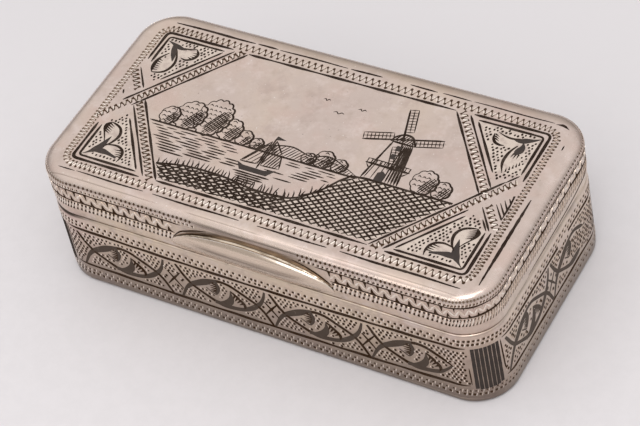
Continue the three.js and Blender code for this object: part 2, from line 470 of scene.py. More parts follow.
def nielloFinish(name, dark, greyness, rub, roughness):
    finish, place = newFinish(name)
    cloud = place.noise(0.55, 4, 0.6)
    speck = place.noise(2.6, 3, 0.6)
    colour = place.mix(nielloLook[dark], nielloLook["grey"], cloud.between(0.3, 0.7) * 0.35 + greyness)
    thin = (cloud * 0.45 + speck * 0.55).between(0.56, 0.70) * rub
    coatWith(place, {
        "Base Color": place.mix(colour, nielloLook["bare"], thin),
        "Metallic": thin,
        "Roughness": roughness + speck * 0.16 - 0.08,
        "Specular IOR Level": nielloLook["specular"],
        "Normal": bumpOf(place, speck, nielloLook["grain"]),
    })
    return finish


giltLook = {
    "gold": (0.78, 0.53, 0.22),
    "rubbed": (0.70, 0.57, 0.42),
    "roughness": 0.30,
    "grain": 0.004,
}


def giltFinish():
    finish, place = newFinish("wornGilding")
    cloud = place.noise(0.10, 5, 0.6)
    fine = place.noise(2.2, 4, 0.6)
    rubbed = (cloud * 0.7 + fine * 0.3).between(0.46, 0.66)
    coatWith(place, {
        "Base Color": place.mix(giltLook["gold"], giltLook["rubbed"], rubbed),
        "Metallic": 1.0,
        "Roughness": giltLook["roughness"] + fine * 0.2 - 0.08,
        "Normal": bumpOf(place, fine, giltLook["grain"]),
    })
    return finish


steelLook = {
    "light": (0.40, 0.39, 0.38),
    "dark": (0.26, 0.25, 0.24),
    "roughness": 0.25,
}


def steelFinish():
    finish, place = newFinish("drawnWire")
    drawn = place.noise(1.0, 3, 0.6, (0.2, 9, 9))
    coatWith(place, {
        "Base Color": place.mix(steelLook["light"], steelLook["dark"], drawn),
        "Metallic": 1.0,
        "Roughness": drawn * 0.3 + steelLook["roughness"],
    })
    return finish


topSilver = silverFinish("silverLidTop", warmth=0.06, tarnish=0.25, roughness=0.30, edge=True)
wallSilver = silverFinish("silverWalls", warmth=0.55, tarnish=0.40, roughness=0.30, walls=True)
smoothSilver = silverFinish("silverSmooth", warmth=0.95, tarnish=0.10, roughness=0.24, grain=0.2)
thumbSilver = thumbFinish()
grooveSilver = grooveFinish()
topCut = brightFinish("silverTopCut", "top")
wallCutAndCrestHighlight = brightFinish("silverWallCutAndCrestHighlight", "wall")
groundSilver = brightFinish("silverCutGround", "ground")
topNiello = nielloFinish("nielloLidLines", "black", greyness=0.0, rub=0.10, roughness=0.42)
topGrey = nielloFinish("nielloLidMasses", "slate", greyness=0.0, rub=0.10, roughness=0.36)
wallNielloAndShade = nielloFinish("nielloWallLinesAndShadeLines", "deep", greyness=0.06, rub=0.18, roughness=0.42)
wallGrey = nielloFinish("nielloWallMasses", "deep", greyness=0.85, rub=0.28, roughness=0.38)
endGrey = nielloFinish("nielloEndScrolls", "pale", greyness=0.0, rub=0.28, roughness=0.40)
cutBrown = nielloFinish("dirtAndShadeInCuts", "brown", greyness=0.0, rub=0.22, roughness=0.5)
cutFaint = nielloFinish("dirtAndShadeInShallowCuts", "faint", greyness=0.0, rub=0.22, roughness=0.5)
gilt = giltFinish()
steel = steelFinish()
print("finishes made:", len(bpy.data.materials))


# Meshes
def meshOf(name, verts, faces):
    mesh = bpy.data.meshes.new(name)
    mesh.from_pydata([Vector(vert) * mm for vert in verts], [], faces)
    return mesh


def linked(name, data):
    thing = bpy.data.objects.new(name, data)
    bpy.context.scene.collection.objects.link(thing)
    return thing


# which holds each face's place in the list of finishes
def addPiece(name, verts, faces, body, finishes, replaced=(), which=None,
             sharp=shell["smoothAngle"]):
    mesh = meshOf(name, verts, faces)
    for finish in finishes:
        mesh.materials.append(finish)
    if which:
        mesh.polygons.foreach_set("material_index", which)
    piece = linked(name, mesh)
    shadeSoftly(piece, sharp)
    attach(piece, body)
    if replaced:
        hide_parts(*replaced)
    return piece


def shadeSoftly(piece, sharp):
    piece.data.shade_smooth()
    piece.data.set_sharp_from_angle(angle=math.radians(sharp))
    piece.data.update()


# Quads over rows of count points; ring closes each row, joined leads the last row back to the first
def skin(rows, count, ring=True, joined=False, turn=False):
    faces = []
    for here in range(rows if joined else rows - 1):
        there = (here + 1) % rows
        for low in range(count if ring else count - 1):
            high = (low + 1) % count
            quad = (here * count + low, there * count + low, there * count + high, here * count + high)
            faces.append(quad[:1] + quad[:0:-1] if turn else quad)
    return faces


# Faces that close the first and the last row
def caps(rows, count, turn=False):
    first = tuple(range(count))
    last = tuple(reversed(range((rows - 1) * count, rows * count)))
    return [first[::-1], last[::-1]] if turn else [first, last]


# A section of (inset, z) points carried along the outline
def sweep(section, marks, closed=True):
    verts = [(*outline(s, inset)[0], z) for s in marks for inset, z in section]
    faces = skin(len(marks), len(section), joined=closed)
    if not closed:
        faces += caps(len(marks), len(section))
    return verts, faces


# A sheet from rings of (inset, z), from the middle of the underside round the edge to the top
def sheetOf(rings, marks):
    verts = [(*outline(s, inset)[0], z) for inset, z in rings for s in marks]
    return verts, skin(len(rings), len(marks), turn=True) + caps(len(rings), len(marks), True)


# Quarter ellipse that leaves the first (inset, z) point upright and comes in level on the last
def rolled(first, last, steps=shell["edgeSteps"]):
    points = []
    for step in range(steps + 1):
        angle = math.pi / 2 * step / steps
        inset = first[0] + (last[0] - first[0]) * (1 - math.cos(angle))
        points.append((inset, first[1] + (last[1] - first[1]) * math.sin(angle)))
    return points


# A turned form along the hinge: (x, radius) points, joined to a ring if hollow
def turned(profile, hollow, sides=48):
    verts = []
    for side in range(sides):
        angle = 2 * math.pi * side / sides
        y, z = math.cos(angle), math.sin(angle)
        verts += [(x, hingeAxis.y + reach * y, hingeAxis.z + reach * z) for x, reach in profile]
    count = len(profile)
    faces = skin(sides, count, ring=hollow, joined=True, turn=True)
    if not hollow:
        faces.append(tuple(side * count for side in range(sides)))
        faces.append(tuple(side * count + count - 1 for side in reversed(range(sides))))
    return verts, faces


# A smooth run of points through the given ones; a third value, such as a width, runs along
def curve(points, step=0.3, parts=None):
    padded = [points[0], *points, points[-1]]
    line = []
    for before, first, second, after in zip(padded, padded[1:], padded[2:], padded[3:]):
        span = math.hypot(second[0] - first[0], second[1] - first[1])
        pieces = parts or max(2, round(span / step))
        for piece in range(pieces):
            t = piece / pieces
            spot = []
            for a, b, c, d in zip(before, first, second, after):
                bend = 2 * a - 5 * b + 4 * c - d + t * (3 * b - a - 3 * c + d)
                spot.append(b + 0.5 * t * (c - a + t * bend))
            line.append(tuple(spot))
    line.append(tuple(points[-1]))
    return line


# Takes the round groove for the hinge out of a wall
def cutCove(piece):
    reach = -boxOf("hinge_plug_left")[0].x + shell["coveEnd"]
    groove = [(-reach, shell["coveRadius"]), (reach, shell["coveRadius"])]
    tool = linked("coveTool", meshOf("coveTool", *turned(groove, False, 96)))
    cut = piece.modifiers.new("cove", "BOOLEAN")
    cut.object = tool
    cut.operation = "DIFFERENCE"
    cut.solver = "EXACT"
    graph = bpy.context.evaluated_depsgraph_get()
    piece.data = bpy.data.meshes.new_from_object(piece.evaluated_get(graph))
    piece.modifiers.clear()
    bpy.data.objects.remove(tool)
    shadeSoftly(piece, shell["smoothAngle"])


# A wall all round; one face of its section is the gilt inside
def makeWall(name, body, section, inner, node):
    verts, faces = sweep(section, stations())
    which = [int(face % len(section) == inner) for face in range(len(faces))]
    cutCove(addPiece(name, verts, faces, body, [wallSilver, gilt], [node], which))


# Base shell
def makeBase():
    soft, thick, footRound = shell["softEdge"], shell["wallThickness"], shell["footRound"]
    rings = [(footRound + shell["footFlatStart"], 0.0)]
    rings += reversed(rolled((0.0, footRound), (footRound, 0.0)))
    rings += [(0.0, footHigh.z - soft), (soft, footHigh.z), (thick, footHigh.z)]
    rings += [(thick + shell["flatStart"], footHigh.z)]
    verts, faces = sheetOf(rings, stations())
    which = [0] * (len(faces) - 1) + [1]  # gilt on the inside
    addPiece("baseBottom", verts, faces, "base", [wallSilver, gilt], ["base_floor"], which)

    foot = wallLow.z - shell["wallSeat"]
    section = [(0.0, foot)] + [(inset, wallLow.z + height) for height, inset in shell["wallLean"]]
    section += rolled((shell["shoulderInset"], shoulderZ), (shell["rimInset"], wallHigh.z))
    section += [(thick - soft, wallHigh.z), (thick, wallHigh.z - soft), (thick, foot)]
    makeWall("baseWall", "base", section, len(section) - 2, "base_wall")
    makeLip()


# The lip is open at the back, where the hinge lies
def makeLip():
    outer = footHigh.x - lipHigh.x
    inner = outer + shell["lipThickness"]
    backHalf = boxOf("base_hinge_bearer")[1].x + shell["lipGap"]
    start, stop = backMiddle + backHalf - girth, backMiddle - backHalf
    clear = 0.2  # no station closer to an end
    marks = stations() + [s - girth for s in stations()]
    marks = sorted([start, stop] + [s for s in marks if start + clear < s < stop - clear])
    section = [(outer, lipLow.z)]
    section += [(outer + inset, lipHigh.z - drop) for inset, drop in shell["lipRound"]]
    section += [(inner - inset, lipHigh.z - drop) for inset, drop in reversed(shell["lipRound"])]
    section += [(inner, lipLow.z)]
    verts, faces = sweep(section, marks, closed=False)
    addPiece("baseLip", verts, faces, "base", [gilt], ["base_lip"])


# Lid shell
def makeLid():
    soft, inner, plate = shell["softEdge"], shell["lidInnerInset"], plateLow.z - shell["lidSeat"]
    section = rolled((lidInset, lidShoulderZ), (shell["rimInset"], lidLow.z))[::-1]
    section += [(lidInset, plate), (inner, plate), (inner, lidLow.z + soft), (inner - soft, lidLow.z)]
    makeWall("lidWall", "lid", section, len(section) - 3, "lid_wall")

    recess, under = shell["recessInset"], plateLow.z + shell["plateRecess"]
    reach = lidInset + shell["edgeReach"]
    rings = [(recess + shell["flatStart"], under), (recess, under), (recess, plateLow.z)]
    rings += rolled((lidInset, plateLow.z), (reach, topZ), shell["topEdgeSteps"])
    rings += [(reach + shell["topFlatStart"], topZ)]
    marks = stations()
    verts, faces = sheetOf(rings, marks)
    which = [int(face < 2 * len(marks)) for face in range(len(faces))]  # gilt in the recess underneath
    which[-2] = 1
    addPiece("lidTop", verts, faces, "lid", [topSilver, gilt], ["lid_plate"], which)


thumb = {
    "reach": 1.2,
    "tipRise": 1.34,           # above the lid's rim
    "footRise": 0.42,
    "ridgeDrop": 0.7,          # below the lid's rolled edge
    "edge": 0.15,
    "archPower": 1.12,
    "bulgePower": 1.35,
    "bellyLow": (0.72, 0.35),  # the face, as shares of its reach and height
    "bellyFull": 0.66,
    "bellyHigh": (0.985, 0.78),
    "brow": (0.95, 0.86),
    "ridgeShare": 0.58,        # the ridge stands back a little from the fullest part of the face
    "ridgeRound": 0.05,
    "hollow": 0.34,            # depth of the groove behind the ridge
    "groove": ((0.8, 0.6), (0.45, 1.0), (0.0, 0.6)),  # its section, as shares of the ridge and that depth
    "facetFrom": 0.08,         # to the right the ridge is rubbed to a bright facet
    "facetGain": 1.5,
    "facetDrop": 0.30,
    # where the crest's bright metal, partly a painted highlight, widens to the right
    "crestHighlightWidens": (2.5, 4.5, 6.0, 7.5),
    "crestFaces": 3,
    "grooveFaces": 12,
    "steps": 96,
    "curveParts": 5,
    "tipStop": 0.998,          # the tips are blunt by a hair
    "smoothAngle": 40,
}


# A section through the crescent, as (reach, z): a full face up to a sharp ridge, and a hollow behind it
def thumbSection(fullness, rightward):
    tip = lidLow.z + thumb["tipRise"]
    bottom = tip + (lidLow.z + thumb["footRise"] - tip) * fullness
    top = tip + (plateLow.z - thumb["ridgeDrop"] - tip) * fullness ** thumb["archPower"]
    tall = top - bottom
    reach = thumb["reach"] * fullness ** thumb["bulgePower"]
    ridge = reach * thumb["ridgeShare"]
    edge = min(thumb["edge"] * fullness, reach / 2)
    soft = thumb["ridgeRound"] * fullness
    facet = min(1.0, max(0.0, (rightward - thumb["facetFrom"]) * thumb["facetGain"]))
    lowOut, lowUp = thumb["bellyLow"]
    highOut, highUp = thumb["bellyHigh"]
    browOut, browUp = thumb["brow"]
    brow = bottom + tall * (browUp + (1 - browUp) * facet) - thumb["facetDrop"] * fullness * facet
    face = [(edge, bottom), (edge + (reach - edge) * lowOut, bottom + tall * lowUp)]
    face += [(reach, bottom + tall * thumb["bellyFull"]), (reach * highOut, bottom + tall * highUp)]
    face += [(reach * (browOut - 0.02 * facet), brow), (ridge, top - soft * 0.8)]
    groove = [(ridge * out, top - thumb["hollow"] * fullness * deep) for out, deep in thumb["groove"]]
    points = [(0.0, bottom)] + curve(face, parts=thumb["curveParts"])
    points += [(ridge * 0.98, top), (ridge * 0.92, top - soft)]
    return points + curve(groove, parts=thumb["curveParts"])


# Crescent on the lid's front
def makeThumbpiece():
    high = boxOf("thumbpiece")[1]
    rows = []
    for step in range(thumb["steps"] + 1):
        angle = (step / thumb["steps"] - 0.5) * math.pi * thumb["tipStop"]
        across, fullness = math.sin(angle), math.cos(angle)
        rows.append([(high.x * across, high.y - reach, z) for reach, z in thumbSection(fullness, across)])
    count = len(rows[0])
    faces = skin(len(rows), count) + caps(len(rows), count)
    firstGroove = count - thumb["grooveFaces"]
    firstCrest = firstGroove - thumb["crestFaces"]

    # Plain, the groove in painted shade, or the crest in bright metal, partly a painted highlight, which
    # widens to the right
    def lookOf(face):
        row, spot = divmod(face, count)
        if row >= thumb["steps"]:
            return 0
        wider = sum(rows[row][0][0] > mark for mark in thumb["crestHighlightWidens"])
        if firstCrest - wider <= spot < firstGroove:
            return 2
        return int(spot >= firstGroove)

    verts = [vert for row in rows for vert in row]
    which = [lookOf(face) for face in range(len(faces))]
    looks = [thumbSilver, grooveSilver, wallCutAndCrestHighlight]
    addPiece("thumbCrescent", verts, faces, "lid", looks, ["thumbpiece"], which,
             thumb["smoothAngle"])


hinge = {
    "tubeSoft": 0.12,          # softened ends of the tubes
    "bevel": 0.3,              # share of that which the bevel's middle stands in
    "boreRoom": 0.06,          # between the pin and the tubes
    "pinSoft": 0.1,
    "pinSides": 32,
    "core": 0.02,              # turned ends close with a small flat
    "domeRise": 0.3,
    "domeShares": (1.0, 0.9, 0.75, 0.55, 0.3, 0.05),
    "barSoft": 0.15,
    "barSeamSoft": 0.1,
    "barSteps": 12,
}
pinReach = boxOf("hinge_pin")[1].y - hingeAxis.y


def makeKnuckles():
    soft = hinge["tubeSoft"]
    bevel = soft * hinge["bevel"]
    bore = pinReach + hinge["boreRoom"]
    for name in sorted(frame["nodes"]):
        if "_knuckle_" not in name:
            continue
        low, high = boxOf(name)
        reach = high.y - hingeAxis.y
        profile = [(low.x + bevel, reach - bevel), (low.x, reach - soft), (low.x, bore), (high.x, bore)]
        profile += [(high.x, reach - soft), (high.x - bevel, reach - bevel)]
        profile += [(high.x - soft, reach), (low.x + soft, reach)]
        verts, faces = turned(profile, True)
        body, number = name.split("_knuckle_")
        addPiece(f"{body}Knuckle{number}", verts, faces, body, [smoothSilver], [name])


def makePin():
    low, high = boxOf("hinge_pin")
    soft, core = hinge["pinSoft"], hinge["core"]
    profile = [(high.x, core), (high.x, pinReach - soft), (high.x - soft, pinReach)]
    profile += [(low.x + soft, pinReach), (low.x, pinReach - soft), (low.x, core)]
    verts, faces = turned(profile, False, hinge["pinSides"])
    addPiece("hingePin", verts, faces, "base", [steel], ["hinge_pin"])


def makePlugs():
    for name, side in (("hinge_plug_left", -1), ("hinge_plug_right", 1)):
        low, high = boxOf(name)
        near, far = (high.x, low.x) if side < 0 else (low.x, high.x)
        profile = [(near, hinge["core"]), (near, pinReach)]
        for share in hinge["domeShares"]:
            profile.append((far - side * hinge["domeRise"] * quarter(share), pinReach * share))
        verts, faces = turned(profile if side < 0 else profile[::-1], False, hinge["pinSides"])
        piece = f"hingePlug{name.split('_')[-1].title()}"
        addPiece(piece, verts, faces, "base", [smoothSilver], [name])


# Grooved bars that carry the tubes, in base and lid
def makeHingeBars():
    cove, steps = shell["coveRadius"], hinge["barSteps"]
    soft, seamSoft = hinge["barSoft"], hinge["barSeamSoft"]
    for body, side in (("base", -1), ("lid", 1)):
        node = f"{body}_hinge_bearer"
        low, high = boxOf(node)
        seamZ, farZ = (high.z, low.z) if side < 0 else (low.z, high.z)
        start = math.asin(abs(seamZ - hingeAxis.z) / cove)
        stop = math.acos((hingeAxis.y - high.y) / cove)
        ring = [(low.y + soft, farZ), (low.y, farZ - side * soft), (low.y, seamZ + side * seamSoft)]
        ring += [(low.y + seamSoft, seamZ)]
        for step in range(steps + 1):
            angle = start + (stop - start) * step / steps
            ring.append((hingeAxis.y - cove * math.cos(angle), hingeAxis.z + side * cove * math.sin(angle)))
        ring.append((high.y, farZ))
        verts = [(x, y, z) for x in (low.x, high.x) for y, z in ring]
        faces = skin(2, len(ring), turn=side > 0) + caps(2, len(ring), side > 0)
        addPiece(f"{body}HingeBar", verts, faces, body, [gilt], [node])


makeBase()
makeLid()
makeThumbpiece()
makeKnuckles()
makePin()
makePlugs()
makeHingeBars()


inlayLook = {
    "proud": 0.016,            # how far the inlay stands out of the metal
    "groundProud": 0.006,      # freshly cut metal under it
    "brightProud": 0.05,       # bright strands and slivers on the walls
    "sunk": 0.05,
    "edge": 0.7,               # a stroke is lower along its edges
    "finest": 0.012,
    "glintFoot": 0.004,        # the low edge of a bright sliver
    "smoothAngle": 30,
}


# The point this share of the way from one to another
def partWay(first, last, share):
    return (first[0] + (last[0] - first[0]) * share, first[1] + (last[1] - first[1]) * share)


# Closed slivers let into a surface; place(u, v, lift) gives a point on it
class Inlay:
    def __init__(self, place, proud=inlayLook["proud"]):
        self.place = place
        self.proud = proud
        self.sunk = inlayLook["sunk"]
        self.verts = []
        self.faces = []
        self.tone = 0  # which of its finishes the next mark takes
        self.tones = []
        self.taken = {}  # what is drawn so far, by square millimetre, so that dots keep clear

    def mark(self, u, v, reach):
        self.taken.setdefault((math.floor(u), math.floor(v)), []).append((u, v, reach))

    def free(self, u, v, reach):
        for du in (-1, 0, 1):
            for dv in (-1, 0, 1):
                for a, b, size in self.taken.get((math.floor(u) + du, math.floor(v) + dv), ()):
                    if math.hypot(u - a, v - b) < size + reach:
                        return False
        return True

    # Closes the rows of points added last
    def close(self, rows, count, turn):
        start = len(self.verts) - rows * count
        faces = skin(rows, count, turn=turn) + caps(rows, count, turn)
        self.faces += [tuple(start + corner for corner in face) for face in faces]
        self.tones += [self.tone] * len(faces)

    # A flat shape, anticlockwise or not; lifts may tilt it
    def patch(self, points, lifts=None):
        lifts = lifts or [self.proud] * len(points)
        turn = sum(a[0] * b[1] - b[0] * a[1] for a, b in zip(points, points[1:] + points[:1]))
        if turn < 0:
            points, lifts = points[::-1], lifts[::-1]
        self.verts += [self.place(u, v, lift) for (u, v), lift in zip(points, lifts)]
        self.verts += [self.place(u, v, -self.sunk) for u, v in points]
        self.close(2, len(points), False)

    # A ribbon along (u, v, width) points with a low crest
    def stroke(self, line):
        low = self.proud * inlayLook["edge"]
        for spot, (u, v, width) in enumerate(line):
            before, after = line[max(spot - 1, 0)], line[min(spot + 1, len(line) - 1)]
            du, dv = after[0] - before[0], after[1] - before[1]
            run = math.hypot(du, dv) or 1.0
            half = max(width, inlayLook["finest"]) / 2
            nu, nv = -dv / run * half, du / run * half
            for side, lift in ((1, low), (0, self.proud), (-1, low), (-1, -self.sunk), (1, -self.sunk)):
                self.verts.append(self.place(u + nu * side, v + nv * side, lift))
            self.mark(u, v, half)
        self.close(len(line), 5, True)

    # A hand-cut line: its width wavers and thins out at the ends
    def cut(self, first, last, width, taper=0.8, ragged=0.14, step=0.7):
        run = math.dist(first, last)
        pieces = max(2, round(run / step))
        line = []
        for piece in range(pieces + 1):
            t = piece / pieces
            near = min(t, 1 - t) * run
            thin = min(1.0, 0.25 + near / taper) if taper else 1.0
            wide = width * thin * (1 + hand.uniform(-ragged, ragged))
            line.append((*partWay(first, last, t), wide))
        self.stroke(line)

    # A punched dot, a little long and turned
    def dot(self, u, v, size, long=1.25, turn=0.0):
        points = []
        for corner in range(6):
            angle = corner * math.pi / 3
            a, b = math.cos(angle) * size / 2, math.sin(angle) * size / 2 * long
            du = a * math.cos(turn) - b * math.sin(turn)
            dv = a * math.sin(turn) + b * math.cos(turn)
            points.append((u + du, v + dv))
        self.patch(points)

    # A graver's tick: thick at its head (u, v), thin at its tail
    def tick(self, u, v, tailU, tailV, width):
        du, dv = tailU - u, tailV - v
        run = math.hypot(du, dv)
        nu, nv = -dv / run * width / 2, du / run * width / 2
        half = [(-0.12, 0.55), (0.18, 1.0), (0.55, 0.55), (1.0, 0.12)]
        half += [(along, -side) for along, side in reversed(half)]
        self.patch([(u + du * along + nu * side, v + dv * along + nv * side) for along, side in half])

    # A bright sliver of raised metal from one point to another, tilted to its left
    def glint(self, first, last, width, height):
        du, dv = last[0] - first[0], last[1] - first[1]
        run = math.hypot(du, dv)
        nu, nv = -dv / run * width / 2, du / run * width / 2
        points = [(first[0] + nu, first[1] + nv), (first[0] - nu, first[1] - nv)]
        points += [(last[0] - nu, last[1] - nv), (last[0] + nu, last[1] + nv)]
        foot = inlayLook["glintFoot"]
        self.patch(points, [height, foot, foot, height])

    def finish(self, name, body, slot, looks):
        print(name, len(self.faces), "faces")
        sharp = inlayLook["smoothAngle"]
        return addPiece(name, self.verts, self.faces, body, looks, (), self.tones, sharp)


def inside(point, area):
    found = False
    for (a, b), (c, d) in zip(area, area[1:] + area[:1]):
        if (b > point[1]) != (d > point[1]) and point[0] < (c - a) * (point[1] - b) / (d - b) + a:
            found = not found
    return found


# The stretches of a straight line that lie in an area
def clipped(first, last, area):
    du, dv = last[0] - first[0], last[1] - first[1]
    marks = [0.0, 1.0]
    for (a, b), (c, d) in zip(area, area[1:] + area[:1]):
        cross = du * (d - b) - dv * (c - a)
        if abs(cross) < 1e-9:
            continue
        t = ((a - first[0]) * (d - b) - (b - first[1]) * (c - a)) / cross
        w = ((a - first[0]) * dv - (b - first[1]) * du) / cross
        if 0 < t < 1 and 0 <= w <= 1:
            marks.append(t)
    marks.sort()
    for start, stop in zip(marks, marks[1:]):
        if stop - start > 1e-4 and inside(partWay(first, last, (start + stop) / 2), area):
            yield partWay(first, last, start), partWay(first, last, stop)


def hatch(inlay, area, turn, pitch, width, least=0.5, taper=0.5):
    way = (math.cos(math.radians(turn)), math.sin(math.radians(turn)))
    offsets = [v * way[0] - u * way[1] for u, v in area]
    runs = [u * way[0] + v * way[1] for u, v in area]
    offset = min(offsets) + pitch / 2
    while offset < max(offsets):
        spot = offset + hand.uniform(-0.08, 0.08) * pitch
        ends = []
        for run in (min(runs) - 1, max(runs) + 1):
            ends.append((way[0] * run - way[1] * spot, way[1] * run + way[0] * spot))
        for start, stop in clipped(*ends, area):
            if math.dist(start, stop) > least:
                inlay.cut(start, stop, width, taper)
        offset += pitch


punch = {
    "waver": 0.14,             # of the pitch
    "sizes": (0.8, 1.15),
    "long": 1.3,
    "turns": (-0.5, 0.2),
    "rowPitch": 0.82,          # rows lie closer than the dots in them
    "glintRise": 0.16, "glintWidth": 0.15, "glintHeight": 0.05,
}


# Dots over an area, in uneven rows, clear of what is drawn, with bright slivers between them
def stipple(inlay, area, pitch, size, margin, bright=None):
    us, vs = zip(*area)
    waver, rise = punch["waver"], punch["glintRise"]
    row = 0
    v = min(vs)
    while v < max(vs):
        u = min(us) + (row % 2) * pitch / 2
        while u < max(us):
            a, b = u + hand.uniform(-waver, waver) * pitch, v + hand.uniform(-waver, waver) * pitch
            if inside((a, b), area) and inlay.free(a, b, size / 2 + margin):
                wide, turn = size * hand.uniform(*punch["sizes"]), hand.uniform(*punch["turns"])
                inlay.dot(a, b, wide, punch["long"], turn)
                if bright:
                    first, last = (a - pitch * 0.5, b - rise), (a - pitch * 0.44, b + rise)
                    bright.glint(first, last, punch["glintWidth"], punch["glintHeight"])
            u += pitch
        v += pitch * punch["rowPitch"]
        row += 1


# Points and directions a step apart along a path of corner points, with a radius to round them
def along(path, step, rounding=0.0, closed=False):
    parts = 8  # of each rounded corner
    line = []
    count = len(path)
    for here, spot in enumerate(path):
        before, after = Vector(path[here - 1]), Vector(path[(here + 1) % count])
        spot = Vector(spot)
        if rounding and (closed or 0 < here < count - 1):
            back, ahead = (before - spot).normalized(), (after - spot).normalized()
            bend = math.tan(back.angle(ahead) / 2)
            start, stop = spot + back * rounding / bend, spot + ahead * rounding / bend
            for part in range(parts + 1):
                t = part / parts
                line.append(start * (1 - t) ** 2 + spot * 2 * t * (1 - t) + stop * t ** 2)
        else:
            line.append(spot)
    if closed:
        line.append(line[0])
    spots = []
    left = 0.0
    for first, last in zip(line, line[1:]):
        run = (last - first).length
        while left <= run and run > 0:
            spots.append((first + (last - first) * (left / run), (last - first) / run))
            left += step
        left -= run
    return spots


# A line of even make along a path
def traceLine(inlay, path, width, taper, ragged, rounding=0.0, step=0.25):
    spots = along(path, step, rounding)
    line = []
    for spot, (point, way) in enumerate(spots):
        near = min(spot, len(spots) - 1 - spot) * step
        thin = min(1.0, 0.3 + near / taper)
        swell = 1 + ragged * math.sin(spot * 0.21 + path[0][0]) + hand.uniform(-0.05, 0.05)
        line.append((*point, width * thin * swell))
    inlay.stroke(line)


wriggleLook = {
    "step": 0.05,                    # fineness along the path
    "lean": 0.45,                    # of the pitch
    "rises": (0.88, 1.1), "widths": (0.85, 1.15),
    "headSwell": 1.65, "neckSwell": 1.5, "footSwell": 1.55,
    "dotLong": 1.15, "dotTurn": -0.4, "dotPower": 1.6,
    "return": (0.9, 0.6), "headReturn": (0.7, 0.4),
    "glint": (0.19, 0.05), "headGlint": (0.11, 0.04),  # width, of the pitch, and height
    "thinX": 25.0, "thin": 0.8,      # slighter towards the back right corner
    "fadeX": -32.5,                  # worn along the left side
}


# Wriggle work: a zigzag of heavy slanting strokes, thin returns and bright slivers between
def wriggle(inlay, bright, path, pitch, rise, width, waist, rounding=0.0, closed=False, head=0.0):
    look = wriggleLook
    spots = along(path, look["step"], rounding, closed)
    here = 0
    while here < len(spots):
        point, way = spots[here]
        step = pitch(point)
        side = Vector((-way.y, way.x)) * rise / 2
        upper = point + side * hand.uniform(*look["rises"])
        lower = point + way * step * look["lean"] - side * hand.uniform(*look["rises"])
        following = point + way * step + side
        thick = width * hand.uniform(*look["widths"])
        if closed and point.x > look["thinX"] and point.y > 0:
            thick *= look["thin"]
        neck = thick * waist
        inlay.tone = 3 if closed and point.x < look["fadeX"] else 2
        line = [(*upper, thick * look["headSwell"]), (*upper.lerp(lower, 0.3), neck * look["neckSwell"])]
        line += [(*upper.lerp(lower, 0.5), neck), (*upper.lerp(lower, 0.7), neck * look["neckSwell"])]
        inlay.stroke(line + [(*lower, thick * look["footSwell"])])
        if head:
            size = head * min(1.0, step) ** look["dotPower"] * thick / width
            for end in (upper, lower):
                inlay.dot(*end, size, look["dotLong"], look["dotTurn"])
        first, last = look["headReturn" if head else "return"]
        inlay.stroke([(*lower, neck * first), (*following, neck * last)])
        gap = (following - lower) * 0.2
        shift = way * step * 0.2
        wide, high = look["glint"]
        bright.glint(lower + gap + shift, following - gap + shift, wide * step, high)
        if head and point.x > look["fadeX"]:
            wide, high = look["headGlint"]
            first, last = lower.lerp(upper, 0.35) + shift, lower.lerp(upper, 0.85) + shift * 1.3
            bright.glint(first, last, wide * step, high)
        here += max(1, round(step / look["step"]))
    inlay.tone = 0


# Lid top: y values are for the back and the front, reaches for the left and the right
topLook = {
    "frameY": (16.40, -16.65), "frameX": 35.32, "dashStep": 0.4, "dashSway": 0.04,
    "borderX": 33.85, "borderY": (15.08, -15.50), "borderRound": 2.4, "borderRise": 1.02,
    "borderWidth": 0.32, "borderWaist": 0.36, "borderHead": 0.38,
    "borderPitch": 1.08, "cornerPitch": 0.74, "endPitch": 0.66,
    "endX": 33.0, "denseLeft": 12.0, "denseRight": 9.0,  # the border is closer this far from the short sides
    "windowY": (13.92, -14.12), "windowWidth": 0.40,
    "slope": (0.8, 0.6),          # across the slanted bands
    "reach": (22.8, 22.35),       # their distance from the middle
    "bandWidth": 1.84, "bandPitch": 0.94, "bandRise": 1.04, "bandLine": 0.36, "bandWaist": 0.52,
    "bandStroke": 0.39, "wornStroke": 0.33,  # the back right band is worn
    "windowGap": 0.15, "panelGap": 0.35, "rowGap": 0.3,
    "panelX": 32.75, "panelY": (14.08, -14.33), "panelRound": 0.9, "panelWidth": 0.48, "panelStart": 0.7,
    "innerX": 31.95, "innerY": (13.24, -13.56), "innerRound": 0.6, "innerWidth": 0.42, "innerStart": 0.15,
    "hypotenuse": 2.68, "hypotenuseWidth": 0.38, "hypotenuseEnds": (0.35, 4.3),
    "shortSide": ((0.05, 0.15), (1.45, 2.0)), "shortWidth": 0.26,  # along the crossing band, on the right
    "dot": 0.36, "dotPitch": 0.66, "dotMargin": 0.05, "dotEdge": 0.3,
    "fringe": (0.30, 0.18, 0.03), "heart": 0.5,
}

# Dashes of the outer line: where each begins and ends, and its greatest width
frameDashes = {
    "back": ((-32.6, -18.2, 0.46), (-17.8, -14.2, 0.34), (-13.9, -2.0, 0.30), (-1.5, 3.9, 0.36),
             (8.6, 13.2, 0.30), (14.0, 18.8, 0.26), (19.2, 32.2, 0.26)),
    "front": ((-33.6, -30.7, 0.22), (-30.4, -18.6, 0.30), (-17.0, -2.2, 0.34), (0.8, 12.2, 0.34),
              (14.3, 33.2, 0.42)),
    "right": ((12.8, 11.8, 0.22), (1.6, -15.2, 0.50)),
}
frameCorner = [(32.4, 16.28), (33.4, 16.62), (34.0, 16.46), (34.7, 15.86), (33.6, 16.14)]

# Where the two bands that run over the crossings end: window line, outer line and wriggle
bandEnds = {(-1, 1): (-2.0, -1.4, -5.0), (1, -1): (-3.5, 3.1, -3.8)}

# The other two are broken there: where their lines and rows of wriggle stop and go on
brokenBand = {
    "window": 0.1, "outer": 0.15, "outerThin": 0.9, "row": 1.1,
    "beyond": (0.5, -5.9), "beyondThin": 0.8, "beyondRow": (-1.5, -4.8),
}

